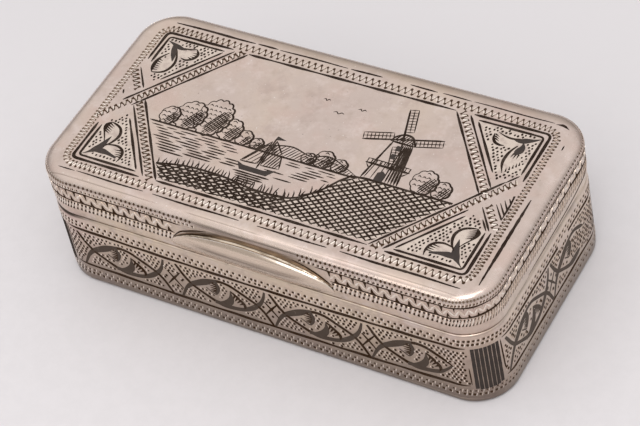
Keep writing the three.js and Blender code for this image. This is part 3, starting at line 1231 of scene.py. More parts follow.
# How far down its short side each panel's two lines run
panelEnds = {(-1, 1): (7.6, 7.3), (1, 1): (4.3, 5.3), (-1, -1): (6.6, 6.9), (1, -1): (5.9, 6.1)}

# Between bands and border: an upright with slanting strokes on the right, one short cut on the left
rightUpright = [(32.85, 1.4, 0.3), (32.98, 0.0, 0.28), (33.02, -1.6, 0.34), (33.05, -3.5, 0.06)]
rightSlants = ((32.4, 0.7, -0.1), (31.9, 0.2, -1.4), (31.55, -0.5, -2.4), (31.1, -0.9, -3.3))
rightSlantX = 33.0
leftCut = [(-32.8, 0.65, 0.22), (-32.62, 0.3, 0.30), (-32.42, -0.1, 0.18)]


# A point on a slanted line in the quarter of the lid with these signs, at a height |y|
def slant(reach, y, signX=1, signY=1):
    across, up = topLook["slope"]
    return ((reach - up * y) / across * signX, y * signY)


def frontOrBack(name, signY):
    return topLook[name][0 if signY > 0 else 1]


def reachOf(signX):
    return topLook["reach"][0 if signX < 0 else 1]


def borderPitch(point):
    look = topLook
    if abs(point.x) > look["endX"]:
        return look["endPitch"]
    share = min(1.0, max(0.0, (point.x + look["endX"]) / look["denseLeft"]))
    if point.y > 0:
        share = min(share, max(0.0, (look["endX"] - point.x) / look["denseRight"]))
    return look["cornerPitch"] + (look["borderPitch"] - look["cornerPitch"]) * share


def bandPitch(point):
    return topLook["bandPitch"]


# A dash that swells to its full width and wavers
def dash(inlay, first, last, width):
    run = math.dist(first, last)
    steps = max(4, round(run / topLook["dashStep"]))
    line = []
    for step in range(steps + 1):
        t = step / steps
        swell = (0.25 + 0.75 * math.sin(math.pi * t) ** 0.6) * hand.uniform(0.85, 1.15)
        u, v = partWay(first, last, t)
        line.append((u, v + topLook["dashSway"] * math.sin(t * run * 0.5 + first[0]), width * swell))
    inlay.stroke(line)


def makeTopBorder(inlay, bright):
    look = topLook
    corners = ((1, -1), (1, 1), (-1, 1), (-1, -1))
    border = [(signX * look["borderX"], frontOrBack("borderY", signY)) for signX, signY in corners]
    wriggle(inlay, bright, border, borderPitch, look["borderRise"], look["borderWidth"], look["borderWaist"],
            look["borderRound"], True, look["borderHead"])
    for side, y in zip(("back", "front"), look["frameY"]):
        for start, stop, width in frameDashes[side]:
            dash(inlay, (start, y), (stop, y), width)
    for start, stop, width in frameDashes["right"]:
        dash(inlay, (look["frameX"], start), (look["frameX"], stop), width)
    inlay.patch(frameCorner)
    for signY in (1, -1):
        y = abs(frontOrBack("windowY", signY))
        window = [slant(reachOf(signX), y, signX, signY) for signX in (-1, 1)]
        traceLine(inlay, window, look["windowWidth"], 2.0, 0.3)


# The slanted bands run past the point where they cross; one of each pair runs over the other
def makeBands(inlay, bright):
    look = topLook
    wide = look["bandWidth"]
    crossing = wide / (2 * look["slope"][1])  # half the height of the place where two bands cross

    def line(corner, reach, start, stop, thin=1.0):
        path = [slant(reach, y, *corner) for y in (start, stop)]
        traceLine(inlay, path, look["bandLine"] * thin, 1.0, 0.2)

    def zigzag(corner, reach, start, stop):
        thick = look["wornStroke" if corner == (1, 1) else "bandStroke"]
        path = [slant(reach + wide / 2, y, *corner) for y in (start, stop)]
        wriggle(inlay, bright, path, bandPitch, look["bandRise"], thick, look["bandWaist"])

    for signX in (-1, 1):
        reach = reachOf(signX)
        for signY in (1, -1):
            corner = (signX, signY)
            windowTop = abs(frontOrBack("windowY", signY)) - look["windowGap"]
            panelTop = abs(frontOrBack("panelY", signY)) - look["panelGap"]
            rowTop = windowTop + look["rowGap"]
            if corner in bandEnds:
                windowEnd, outerEnd, rowEnd = bandEnds[corner]
                line(corner, reach, windowTop, windowEnd)
                line(corner, reach + wide, panelTop, outerEnd)
                zigzag(corner, reach, rowTop, rowEnd)
            else:
                broken = brokenBand
                line(corner, reach, windowTop, broken["window"])
                line(corner, reach + wide, panelTop, crossing + broken["outer"], broken["outerThin"])
                zigzag(corner, reach, rowTop, broken["row"])
                again, end = broken["beyond"]
                line(corner, reach, -crossing - again, end, broken["beyondThin"])
                zigzag(corner, reach, *broken["beyondRow"])


# Leaves that grow out of a panel's corner: (a, b, width) run inwards from the corner along x and y
openLeaf = {
    "body": [(0.2, 0.5, 0.1), (1.2, 1.1, 0.55), (2.3, 1.55, 1.05), (3.1, 1.85, 0.7), (3.9, 1.85, 0.1)],
    "stem": [(2.3, 2.1, 0.2), (2.1, 2.8, 0.8), (2.2, 3.5, 1.25), (2.45, 4.1, 1.0), (2.5, 4.6, 0.2)],
    "lines": [
        [(3.0, 1.5, 0.34), (4.2, 1.75, 0.38), (5.4, 1.62, 0.28), (6.6, 1.2, 0.08)],
        [(7.1, 1.6, 0.14), (6.9, 2.5, 0.4), (6.3, 3.25, 0.48), (5.4, 3.5, 0.38), (4.8, 3.35, 0.08)],
        [(2.9, 2.8, 0.2), (3.45, 4.1, 0.4), (3.65, 5.5, 0.5), (3.5, 6.8, 0.42), (2.8, 8.4, 0.08)],
    ],
    "fringe": [(6.95, 1.65, -0.85, 0.42), (6.85, 2.05, -0.85, 0.42), (6.7, 2.45, -0.85, 0.42),
               (2.4, 8.0, 0.2, -0.75), (2.05, 7.55, 0.2, -0.75), (1.7, 7.1, 0.2, -0.75),
               (1.35, 6.7, 0.2, -0.75), (1.05, 6.3, 0.2, -0.75),
               (2.0, 4.3, 0.0, 1.0), (2.4, 4.4, 0.1, 1.0), (2.75, 4.3, 0.2, 0.9)],
}
foldedLeaf = {
    "body": [(0.3, 0.3, 0.08), (1.1, 1.0, 0.4), (1.8, 1.75, 1.1), (2.3, 2.6, 1.15), (2.5, 3.5, 0.8),
             (2.8, 4.9, 0.1)],
    "stem": [(1.5, 1.4, 0.3), (2.8, 1.8, 1.05), (4.2, 1.65, 0.66), (5.3, 1.4, 0.42), (5.8, 1.25, 0.34)],
    "lines": [
        [(2.9, 3.2, 0.2), (4.4, 3.5, 0.36), (5.6, 3.2, 0.44), (6.3, 2.4, 0.46), (6.45, 1.4, 0.36),
         (6.3, 0.5, 0.06)],
        [(2.6, 2.7, 0.2), (3.4, 3.7, 0.36), (3.85, 5.0, 0.5), (3.75, 6.0, 0.5), (3.1, 6.9, 0.42),
         (2.0, 7.4, 0.34), (1.1, 7.55, 0.1)],
        [(1.2, 7.5, 0.2), (0.85, 6.9, 0.75), (0.85, 6.2, 0.6), (1.2, 5.4, 0.28), (1.9, 4.3, 0.2),
         (2.3, 3.5, 0.1)],
    ],
    "fringe": [(6.15, 2.4, -1.1, -0.1), (6.3, 2.0, -1.1, -0.1), (5.8, 2.8, -1.1, -0.15),
               (6.3, 1.6, -0.9, 0.0), (1.1, 7.3, 1.1, -0.55), (1.0, 6.9, 1.2, -0.5),
               (1.0, 6.5, 1.2, -0.5), (1.05, 6.1, 1.1, -0.45), (1.2, 5.7, 0.9, -0.4)],
}
roundLeaf = {
    "body": [(0.3, 0.85, 0.1), (1.4, 1.2, 0.5), (2.4, 1.55, 0.85), (3.3, 1.75, 0.6), (4.1, 1.75, 0.1)],
    "stem": [(1.6, 1.4, 0.4), (2.15, 2.4, 0.95), (2.7, 3.6, 0.75), (3.15, 4.7, 0.12)],
    "lines": [
        [(3.5, 1.55, 0.2), (4.6, 1.47, 0.34), (5.6, 1.1, 0.14)],
        [(5.55, 1.1, 0.14), (6.15, 1.75, 0.42), (6.35, 2.35, 0.5), (6.0, 3.15, 0.48), (5.0, 3.75, 0.36),
         (4.0, 3.55, 0.1)],
        [(2.5, 2.1, 0.15), (3.35, 3.65, 0.36), (3.75, 5.1, 0.48), (3.4, 6.6, 0.46), (2.5, 7.45, 0.36),
         (1.2, 7.75, 0.15)],
        [(1.8, 3.2, 0.15), (0.95, 4.55, 0.42), (0.72, 5.8, 0.6), (0.85, 6.85, 0.55), (1.15, 7.65, 0.15)],
    ],
    "fringe": [(6.2, 1.95, -0.8, 0.1), (6.3, 2.4, -0.8, 0.05), (6.1, 2.85, -0.8, -0.05),
               (5.7, 3.25, -0.7, -0.2), (0.85, 4.9, 0.9, 0.2), (0.8, 5.35, 1.0, 0.15), (0.75, 5.8, 1.0, 0.1),
               (0.8, 6.25, 1.0, 0.05), (0.85, 6.7, 1.0, 0.0), (1.0, 7.15, 0.9, -0.1)],
}
cornerLeaves = {(-1, 1): roundLeaf, (1, 1): openLeaf, (-1, -1): foldedLeaf, (1, -1): foldedLeaf}

# Their open parts, which stay free of dots
leafHearts = ((5.3, 2.4), (4.6, 2.7), (3.9, 2.7), (2.6, 4.8), (2.2, 5.5), (2.9, 5.6), (2.0, 6.2), (2.8, 6.3),
              (2.1, 6.9))


# place puts (a, b, width) points on the lid
def drawLeaf(inlay, leaf, place):
    inlay.tone = 1
    for name in ("body", "stem"):
        inlay.stroke(place(curve(leaf[name])))
    inlay.tone = 0
    for line in leaf["lines"]:
        inlay.stroke(place(curve(line)))
    thick, middle, thin = topLook["fringe"]
    for a, b, da, db in leaf["fringe"]:
        inlay.stroke(place([(a, b, thick), (a + da * 0.5, b + db * 0.5, middle), (a + da, b + db, thin)]))
    for a, b in leafHearts:
        inlay.mark(*place([(a, b, topLook["heart"])])[0])


def makeCornerPanels(inlay, ground):
    look = topLook
    panelX, innerX = look["panelX"], look["innerX"]
    for (signX, signY), leaf in cornerLeaves.items():
        reach = reachOf(signX) + look["hypotenuse"]
        panelY, innerY = abs(frontOrBack("panelY", signY)), abs(frontOrBack("innerY", signY))
        panelEnd, innerEnd = panelEnds[signX, signY]
        panelStart = slant(reachOf(signX) + look["bandWidth"], panelY)[0] + look["panelStart"]
        innerStart = slant(reach, innerY)[0] + look["innerStart"]
        top, foot = look["hypotenuseEnds"]

        def mirrored(path):
            return [(x * signX, y * signY, *rest) for x, y, *rest in path]

        def place(line):
            return mirrored([(innerX - a, innerY - b, width) for a, b, width in line])

        outer = [(panelStart, panelY), (panelX, panelY), (panelX, panelEnd)]
        inner = [(innerStart, innerY), (innerX, innerY), (innerX, innerEnd)]
        long = [slant(reach, innerY - top), slant(reach, foot)]
        traceLine(inlay, mirrored(outer), look["panelWidth"], 1.6, 0.16, look["panelRound"])
        traceLine(inlay, mirrored(inner), look["innerWidth"], 1.2, 0.16, look["innerRound"])
        traceLine(inlay, mirrored(long), look["hypotenuseWidth"], 0.8, 0.2)
        if signX > 0:
            short = [(innerX - a, innerEnd - b) for a, b in look["shortSide"]]
            traceLine(inlay, mirrored(short), look["shortWidth"], 1.0, 0.2)
        drawLeaf(inlay, leaf, place)
        edge = look["dotEdge"]
        area = [(innerStart + 3 * edge, innerY - edge), (innerX - edge, innerY - edge)]
        area += [(innerX - edge, innerEnd - 0.4), slant(reach + edge, 3.6)]
        stipple(inlay, mirrored(area), look["dotPitch"], look["dot"], look["dotMargin"])
        ground.patch(mirrored(inner + [slant(reach, foot + 0.1)]))
    inlay.stroke(curve(rightUpright))
    for x, y, endY in rightSlants:
        middle = partWay((x, y), (rightSlantX, endY), 0.6)
        inlay.stroke([(x, y, 0.10), (*middle, 0.27), (rightSlantX + 0.02, endY, 0.30)])
    inlay.stroke(leftCut)


# A river view of its own design in the window: a mill, a boat, trees and cross-cut banks
picture = {
    "shoreY": -3.4, "footY": -13.6, "edgeGap": 0.45,
    "grassPitch": 0.72, "grassWidth": 0.33,
    "ridge": ((-8.5, 0.3, 0.1), (-5.5, 1.4, 0.2), (-2.0, 2.3, 0.24), (1.5, 1.6, 0.2), (4.5, 2.4, 0.22),
              (9.6, 0.4, 0.1)),
    "bank": ((-15.0, -10.0), (-9.0, -9.9), (-3.0, -10.6), (2.6, -10.2), (6.0, -7.4), (8.4, -4.0),
             (11.0, -3.05)),
    "bankLeftY": -11.0, "bankRightY": -3.0, "bankLine": 0.38, "darkX": 3.0,
    "reeds": 46, "reedsFrom": -19.5, "reedsRun": 26.0,
    "waterTop": 0.6, "waterFoot": -10.2, "waterPitch": 0.50, "waterEnd": (8.0, 0.62),
    "trees": ((-23.0, 1.5, 1.7), (-20.0, 2.4, 2.7), (-16.3, 2.7, 3.5), (-12.6, 1.8, 2.1), (-9.8, 1.3, 1.4),
              (-7.4, 1.0, 1.0), (1.4, 1.1, 1.0), (3.7, 1.5, 1.6), (6.4, 1.2, 1.2), (19.6, 1.9, 2.2),
              (22.6, 1.4, 1.6)),
    "birds": ((1.2, 7.3, 0.9), (4.3, 9.0, 0.7), (-1.8, 9.2, 0.6)),
    "bird": ((-1.0, 0.1, 0.03), (-0.45, 0.32, 0.18), (0.0, 0.0, 0.14), (0.5, 0.36, 0.18), (1.0, 0.15, 0.03)),
}

millLook = {
    "x": 13.2, "foot": -2.9, "tall": 8.0, "lowHalf": 2.9, "topHalf": 1.6, "outline": 0.32,
    "boards": 12, "board": 0.18, "boardSwell": 0.04,
    "door": ((-0.9, 0.1), (0.45, 0.1), (0.45, 1.6), (-0.2, 2.1), (-0.9, 1.6)),
    "pane": ((-0.6, 0.0), (0.15, 0.0), (0.15, 1.0), (-0.6, 1.0)), "paneHeights": (4.7, 6.4),
    "deck": 3.0, "deckHalf": 3.6, "deckWidth": 0.40, "rail": 0.85, "railHalf": 3.5, "railWidth": 0.18,
    "posts": 11, "postHalf": 3.4, "postPitch": 0.68, "postWidth": 0.17,
    "strut": ((3.4, -0.1), (2.4, -1.2)), "strutWidth": 0.22,
    "cap": ((-1.95, 0.0, 0.26), (-1.7, 0.9, 0.32), (-0.5, 1.75, 0.36), (0.9, 1.5, 0.36), (1.95, 0.0, 0.26)),
    "capHalf": 2.05, "capLine": 0.34,
    "hub": (-0.35, 0.75), "hubDot": 0.8, "sailTurns": (17, 107, 197, 287),
    "sailFrom": 1.5, "sailTo": 6.1, "spar": 0.32, "sparTo": 6.2,
    "sailLines": ((1.35, 0.20), (0.7, 0.15)), "bars": 9, "barPitch": 0.57, "barWidth": 0.18,
}


def mill(inlay):
    look = millLook
    x, foot = look["x"], look["foot"]
    lowHalf, topHalf, top = look["lowHalf"], look["topHalf"], foot + look["tall"]
    for side in (-1, 1):
        inlay.cut((x + side * lowHalf, foot), (x + side * topHalf, top), look["outline"], 0.3)
    inlay.cut((x - lowHalf, foot), (x + lowHalf, foot), look["outline"], 0.3)
    # Boards, heavier on the shaded side
    half = look["boards"] // 2
    for step in range(1, look["boards"]):
        share = step / half - 1
        first, last = (x + lowHalf * share, foot + 0.15), (x + topHalf * share, top - 0.1)
        if step > half:
            inlay.cut(first, last, look["board"] + look["boardSwell"] * (step - half), 0.4)
        elif step % 2:
            inlay.cut(first, partWay(first, last, 0.5), look["board"] * 0.8, 0.6)
    inlay.tone = 1
    inlay.patch([(x + a, foot + b) for a, b in look["door"]])
    for height in look["paneHeights"]:
        inlay.patch([(x + a, foot + height + b) for a, b in look["pane"]])
    inlay.tone = 0
    # Gallery with its rail and struts
    deck, rail = foot + look["deck"], foot + look["deck"] + look["rail"]
    inlay.cut((x - look["deckHalf"], deck), (x + look["deckHalf"], deck), look["deckWidth"], 0.3)
    inlay.cut((x - look["railHalf"], rail), (x + look["railHalf"], rail), look["railWidth"], 0.3)
    for step in range(look["posts"]):
        post = x - look["postHalf"] + look["postPitch"] * step
        inlay.cut((post, deck), (post, rail), look["postWidth"], 0.0)
    for side in (-1, 1):
        inlay.cut(*((x + side * a, deck + b) for a, b in look["strut"]), look["strutWidth"], 0.3)
    # Boat-shaped cap
    cap = curve([(x + a, top + b, width) for a, b, width in look["cap"]])
    inlay.stroke(cap)
    inlay.cut((x - look["capHalf"], top), (x + look["capHalf"], top), look["capLine"], 0.3)
    hatch(inlay, [(a, b) for a, b, width in cap], 62, 0.38, 0.22, 0.3)
    # Four lattice sails
    hub = Vector((x + look["hub"][0], top + look["hub"][1]))
    for turn in look["sailTurns"]:
        way = Vector((math.cos(math.radians(turn)), math.sin(math.radians(turn))))
        side = Vector((way.y, -way.x))
        start, stop = hub + way * look["sailFrom"], hub + way * look["sailTo"]
        inlay.cut(hub, hub + way * look["sparTo"], look["spar"], 0.6)
        for off, width in look["sailLines"]:
            inlay.cut(start + side * off, stop + side * off, width, 0.3)
        for bar in range(look["bars"]):
            spot = start + way * look["barPitch"] * bar
            inlay.cut(spot, spot + side * look["sailLines"][0][0], look["barWidth"], 0.2)
    inlay.dot(*hub, look["hubDot"], 1.0)


boatLook = {
    "x": -5.2, "y": -7.3,
    "hull": ((-3.2, 1.0), (-2.0, 0.55), (1.5, 0.5), (3.3, 1.05), (2.3, -0.4), (-2.2, -0.4)),
    "pennant": ((0.2, 7.4), (1.8, 7.0), (0.2, 6.6)),
    "mast": ((0.2, 0.4), (0.2, 7.4)), "mastWidth": 0.28,
    "main": ((0.5, 1.3), (3.5, 1.5), (2.6, 4.2), (0.5, 6.5)),
    "jib": ((-0.1, 6.2), (-2.9, 1.2), (-0.1, 1.4)), "sailLine": 0.26,
    "ripples": 5, "rippleTop": 0.8, "ripplePitch": 0.42, "rippleHalf": 2.7, "rippleWidth": 0.30,
}


def boat(inlay):
    look = boatLook
    x, y = look["x"], look["y"]

    def place(name):
        return [(x + a, y + b) for a, b in look[name]]

    inlay.tone = 1
    inlay.patch(place("hull"))
    inlay.patch(place("pennant"))
    inlay.tone = 0
    inlay.cut(*place("mast"), look["mastWidth"], 0.6)
    main, jib = place("main"), place("jib")
    for sail in (main, jib):
        for first, last in zip(sail, sail[1:] + sail[:1]):
            inlay.cut(first, last, look["sailLine"], 0.3)
    hatch(inlay, main, 72, 0.44, 0.21, 0.4)
    hatch(inlay, jib, 60, 0.62, 0.15, 0.4)
    for step in range(look["ripples"]):
        half = look["rippleHalf"] - 0.3 * step + hand.uniform(-0.4, 0.4)
        middle = x + hand.uniform(-0.3, 0.3)
        level = y - look["rippleTop"] - look["ripplePitch"] * step
        inlay.cut((middle - half, level), (middle + half, level), look["rippleWidth"], 0.9)


# A round-headed tree: scalloped outline, leaf strokes, and shade on its right
def roundTree(inlay, x, y, wide, tall):
    bumps = max(7, round(2.4 * (wide + tall)))
    line = []
    for step in range(bumps * 4 + 1):
        angle = 2 * math.pi * step / (bumps * 4) - math.pi / 2
        swell = 1 + 0.10 * abs(math.sin(angle * bumps / 2))
        width = 0.26 + 0.12 * math.cos(angle + 0.3)
        line.append((x + wide * swell * math.cos(angle), y + tall * swell * math.sin(angle), width))
    inlay.stroke(line)
    turns = [step / 10 for step in range(-17, 9, 2)]
    shade = [(x + wide * 0.95 * math.cos(turn), y + tall * 0.95 * math.sin(turn)) for turn in turns]
    shade += [(x + wide * 0.2, y + tall * 0.3), (x - wide * 0.25, y - tall * 0.45)]
    hatch(inlay, shade, 66, 0.36, 0.23, 0.3)
    hatch(inlay, shade, -24, 0.52, 0.17, 0.4)
    rows, columns = max(3, round(tall * 2.2)), max(3, round(wide * 2.6))
    for row in range(rows):
        for column in range(columns):
            a = (column + 0.5 + 0.5 * (row % 2)) / columns * 2 - 1
            b = (row + 0.5) / rows * 2 - 1
            if a * a + b * b < 0.72 and a - b * 0.6 < 0.35:
                u, v = x + a * wide, y + b * tall
                size = hand.uniform(0.28, 0.4)
                leaf = [(u - size, v - 0.1, 0.05), (u - size * 0.3, v + size * 0.5, 0.22)]
                inlay.stroke(curve(leaf + [(u + size, v - 0.12, 0.05)]))


def windowEdge(sign, y):
    return slant(reachOf(sign), abs(y), sign)[0] - sign * picture["edgeGap"]


# Far hills and the waterline, then the near bank, cross-cut, rising to the mill on the right
def banks(inlay, ground):
    look = picture
    level, foot = look["shoreY"], look["footY"]
    ridge = curve([(a, level + b, width) for a, b, width in look["ridge"]])
    inlay.stroke(ridge)
    hills = [(a, b) for a, b, width in ridge] + [(ridge[-1][0], level), (ridge[0][0], level)]
    hatch(inlay, hills, 58, 0.5, 0.17, 0.3)
    inlay.cut((windowEdge(-1, level), level), (10.0, level), 0.34, 0.8)
    left, right = look["bankLeftY"], look["bankRightY"]
    line = [(windowEdge(-1, left), left), *look["bank"], (windowEdge(1, right), right)]
    area = line + [(windowEdge(side, y), y) for side, y in ((1, level - 5), (1, foot), (-1, foot))]
    ground.patch(area)
    pitch, width = look["grassPitch"], look["grassWidth"]
    hatch(inlay, area, 34, pitch, width, 0.5)
    hatch(inlay, area, -31, pitch * 1.06, width * 0.9, 0.5)
    dark = [(u, v) for u, v in line if u < look["darkX"]] + [(1.0, foot), (windowEdge(-1, foot), foot)]
    hatch(inlay, dark, 6, pitch, width * 0.8, 0.5)
    inlay.stroke(curve([(u, v, look["bankLine"]) for u, v in line]))
    # Reeds along its edge
    for step in range(look["reeds"]):
        t = step / (look["reeds"] - 1)
        x = look["reedsFrom"] + look["reedsRun"] * t + hand.uniform(-0.25, 0.25)
        after = next(spot for spot, (u, v) in enumerate(line) if u > x)
        (u0, v0), (u1, v1) = line[after - 1], line[after]
        y = v0 + (v1 - v0) * (x - u0) / (u1 - u0)
        lean, rise = hand.uniform(-0.6, 0.3), hand.uniform(0.7, 1.7)
        inlay.stroke([(x, y, 0.26), (x + lean * 0.4, y + rise * 0.6, 0.2), (x + lean, y + rise, 0.03)])


# Water as level strokes of uneven length, clear of what is drawn
def water(inlay):
    look = picture
    y = look["shoreY"] - look["waterTop"]
    while y > look["waterFoot"]:
        off = look["shoreY"] - y
        depth = off / 7
        x = windowEdge(-1, y) + hand.uniform(0.1, 1.2)
        stop = look["waterEnd"][0] - off * look["waterEnd"][1]
        while x < stop - 0.8:
            last = min(x + hand.uniform(1.4, 3.6) + 2.0 * depth, stop - 0.2)
            if all(inlay.free(x + (last - x) * part / 6, y, 0.22) for part in range(7)):
                inlay.cut((x, y + hand.uniform(-0.04, 0.04)), (last, y), 0.20 + 0.12 * depth, 0.9)
            x = last + hand.uniform(0.4, 1.4)
        y -= look["waterPitch"]


def makePicture(inlay, ground):
    for x, wide, tall in picture["trees"]:
        roundTree(inlay, x, picture["shoreY"] + tall + (0.5 if x > 10 else 0.1), wide, tall)
    mill(inlay)
    boat(inlay)
    banks(inlay, ground)
    water(inlay)
    for x, y, size in picture["birds"]:
        inlay.stroke(curve([(x + a * size, y + b, width) for a, b, width in picture["bird"]], 0.15))


topInlay = Inlay(topPlace)
topBright = Inlay(topPlace)
topGround = Inlay(topPlace, inlayLook["groundProud"])
makeTopBorder(topInlay, topBright)
makeBands(topInlay, topBright)
makeCornerPanels(topInlay, topGround)
topInlay.finish("lidTopInlay", "lid", "niello", [topNiello, topGrey, cutBrown, cutFaint])
topBright.finish("lidTopBrightCuts", "lid", "silver", [topCut])
viewInlay = Inlay(topPlace)
makePicture(viewInlay, topGround)
topGround.finish("lidTopCutGround", "lid", "silver", [groundSilver])
viewInlay.finish("lidTopPicture", "lid", "niello", [topNiello, topGrey])


# Wall ornament: heights in millimetres above the table
lidRows = {
    "line": 20.55, "lowLine": 18.36, "lineWidth": 0.26, "tick": 0.22,
    "wavePitch": 1.96, "notchWidths": (0.27, 0.34), "waveRises": (0.95, 1.15),
    "notch": ((-0.55, 0.05), (0.55, 0.05), (0.32, -0.42), (0.2, -1.0), (-0.08, -0.98), (-0.2, -0.5)),
    "fin": ((-0.16, -0.05), (0.62, -0.05), (0.38, 0.16), (0.2, 0.45), (0.1, 0.98), (-0.02, 1.0),
            (-0.1, 0.5)),
    "strand": ((0.05, "lowLine", 0.62, 0.16), (0.25, "lowLine", 1.1, 0.30), (0.51, "line", -0.50, 0.16),
               (0.75, "line", -1.05, 0.34)),
    "slashes": (18.02, 16.72), "slashPitch": 0.72, "slashLean": 0.42, "slash": 0.38,
    "slashGlint": 0.24, "slashGlintHeight": 0.06,
    "lineGap": 11.2, "waveGap": 13.4,  # left plain round the thumbpiece, from the middle
    "endSqueeze": 0.2,                 # the rows lie closer on the short sides
    "cornerFade": 0.45,                # and the wave is slighter round the corners
}

baseRows = {
    "line": 12.0, "lowLine": 3.92, "lineWidth": 0.54, "lineStep": 0.4,
    "sag": 0.55,                       # rows hang lower in the middle of the long sides
    "eyeZ": 7.70, "eyeRun": 16.4,
    "frontEyes": (-24.05, -6.5, 9.7, 26.0),
    "endEyes": (-7.2, 7.3), "endGap": (3.1, 6.2), "endBold": 1.1,
    "blockHalf": 2.25, "blockBars": 7, "blockTop": 11.85, "blockFoot": 2.95, "blockStripe": 0.09,
    "blockSteps": 12, "blockOuterFoot": 0.3, "blockGap": 0.65,
    "blockCuts": (((2.55, 11.8), (2.75, 5.2), 0.26), ((-2.75, 7.8), (-2.65, 4.1), 0.22)),
    "dot": 0.40, "dotPitch": 0.74, "dotMargin": 0.12, "dotEdges": (0.45, 0.4),
}

# Double rows of punch marks: the gap is left plain in front, and the upper row may be fainter
punchRows = {
    "lidHeads": {"heights": (21.78, 21.08), "pitch": 0.74, "size": 0.42, "long": 0.9, "gap": 8.6,
                 "upper": 1.0, "cornerTone": 3, "gleam": 0.17},
    "baseHeads": {"heights": (13.56, 12.80), "pitch": 1.03, "size": 0.50, "long": 1.15, "gap": 0.0,
                  "upper": 1.0, "cornerTone": 2, "gleam": 0.17},
    "baseFeet": {"heights": (2.75, 2.02), "pitch": 1.07, "size": 0.475, "long": 1.1, "gap": 0.0,
                 "upper": 0.65, "cornerTone": 2, "gleam": 0.11},
}


# 0 along the long sides, 1 along the short ones, in between round the corners
def endShare(s):
    spot = (s + sideRun / 2) % (girth / 2) - sideRun
    if spot <= 0:
        return 0.0
    return min(1.0, spot / cornerRun, (endRun + 2 * cornerRun - spot) / cornerRun)


def inCorner(s):
    return 0.0 < endShare(s) < 1.0


def lidPlace(s, z, lift):
    top, low, foot = punchRows["lidHeads"]["heights"][0], lidRows["lowLine"], lidRows["slashes"][1]
    share = endShare(s) * min(1.0, max(0.25, (z - foot) / (low - foot)))
    return wallPlace(s, top - (top - z) * (1 - lidRows["endSqueeze"] * share), lift)


def basePlace(s, z, lift):
    along = ((s + sideRun / 2) % (girth / 2)) / sideRun * 2 - 1
    return wallPlace(s, z - baseRows["sag"] * max(0.0, 1 - along * along), lift)


# Places for marks all round, closer together at the corners
def roundWall(pitch, gap=0.0, close=0.72):
    s = gap
    while s < girth - gap - pitch / 2:
        yield s
        s += pitch * (close if inCorner(s) else 1.0) * hand.uniform(0.95, 1.05)


# A line all round, broken by a gap in front, that rises and falls a little
def lineRound(inlay, z, width, gap):
    line = []
    s = gap
    while s < girth - gap:
        waver = 0.04 * math.sin(s * 0.45) + 0.03 * math.sin(s * 1.7)
        near = min(s - gap, girth - gap - s)
        swell = min(1.0, 0.25 + near / 1.5) * (1 + 0.3 * math.sin(s * 0.8 + z) * math.sin(s * 0.31))
        line.append((s, z + waver, width * swell * (1 + 0.15 * endShare(s))))
        s += 0.3 if inCorner(s) else 0.6
    line.append((girth - gap, z, line[0][2]))
    inlay.stroke(line)


# Two rows of leaning punch marks, half a step apart, with bright strokes between
def headRows(inlay, bright, row):
    high, low = row["heights"]
    pitch = row["pitch"]
    for s in roundWall(pitch, row["gap"]):
        inlay.tone = row["cornerTone"] if inCorner(s) else 2
        for u, v, share in ((s, high, row["upper"]), (s + pitch * 0.5, low, 1.0)):
            u, v = u + hand.uniform(-0.04, 0.04), v + hand.uniform(-0.04, 0.04)
            size = row["size"] * share * (1 - 0.25 * endShare(s)) * hand.uniform(0.9, 1.12)
            inlay.dot(u, v, size, row["long"], -0.45 + hand.uniform(-0.15, 0.15))
            bright.glint((u + pitch * 0.24, v - 0.3), (u + pitch * 0.36, v + 0.3), row["gleam"], 0.06)
    inlay.tone = 0


# The painted shadow of the open seam on the short sides: a dark line rising towards the hinge
seamShadowLine = ((48.6, 15.2, 0.05), (51.0, 15.3, 0.2), (55.0, 15.36, 0.26), (60.0, 15.5, 0.26),
           (64.0, 15.8, 0.26), (67.0, 16.35, 0.26), (69.0, 16.75, 0.1))

# Painted shadow with some dirt in the joint round the thumbpiece
thumbJointDirtAndShadow = (
    ((-13.5, 16.6, 0.15), (-12.2, 17.7, 0.4), (-10.5, 18.65, 0.45), (-9.0, 19.3, 0.45), (-7.5, 19.8, 0.36),
     (-5.8, 20.3, 0.1)),
    ((-13.2, 17.3, 0.1), (-11.7, 18.9, 0.28), (-10.2, 19.65, 0.34), (-8.6, 20.3, 0.3), (-6.8, 20.8, 0.1)),
    ((-13.0, 15.75, 0.06), (-10.0, 15.2, 0.12), (-6.5, 14.98, 0.24), (0.0, 14.95, 0.28), (5.5, 14.98, 0.24),
     (10.0, 15.2, 0.12), (13.0, 15.75, 0.06)),
    ((7.5, 20.6, 0.1), (9.3, 20.05, 0.3), (11.0, 19.25, 0.42), (12.4, 18.3, 0.36), (13.4, 17.5, 0.12)),
)


# Dark notches from above, fins from below and a bright strand that winds between
def waveBand(inlay, bright):
    look = lidRows
    pitch = look["wavePitch"]
    strand = []
    places = list(roundWall(pitch, look["waveGap"]))
    for s, after in zip(places, places[1:] + [places[-1] + pitch]):
        step, end = after - s, endShare(s)
        inlay.tone = 2 if end > 0.5 else 0
        bend = 1 - look["cornerFade"] * 4 * end * (1 - end)
        wide = step * hand.uniform(*look["notchWidths"]) * (1 - 0.62 * end) * bend
        deep = hand.uniform(*look["waveRises"]) * bend * (1 - 0.25 * end)
        inlay.patch([(s + a * wide, look["line"] + b * deep) for a, b in look["notch"]])
        middle, wide = s + step * 0.45, step * (0.8 - 0.3 * end)
        tall = hand.uniform(*look["waveRises"]) * bend
        inlay.patch([(middle + a * wide, look["lowLine"] + b * tall) for a, b in look["fin"]])
        strand += [(s + step * a, look[line] + b, width) for a, line, b, width in look["strand"]]
    bright.stroke(curve(strand, 0.25))
    inlay.tone = 0


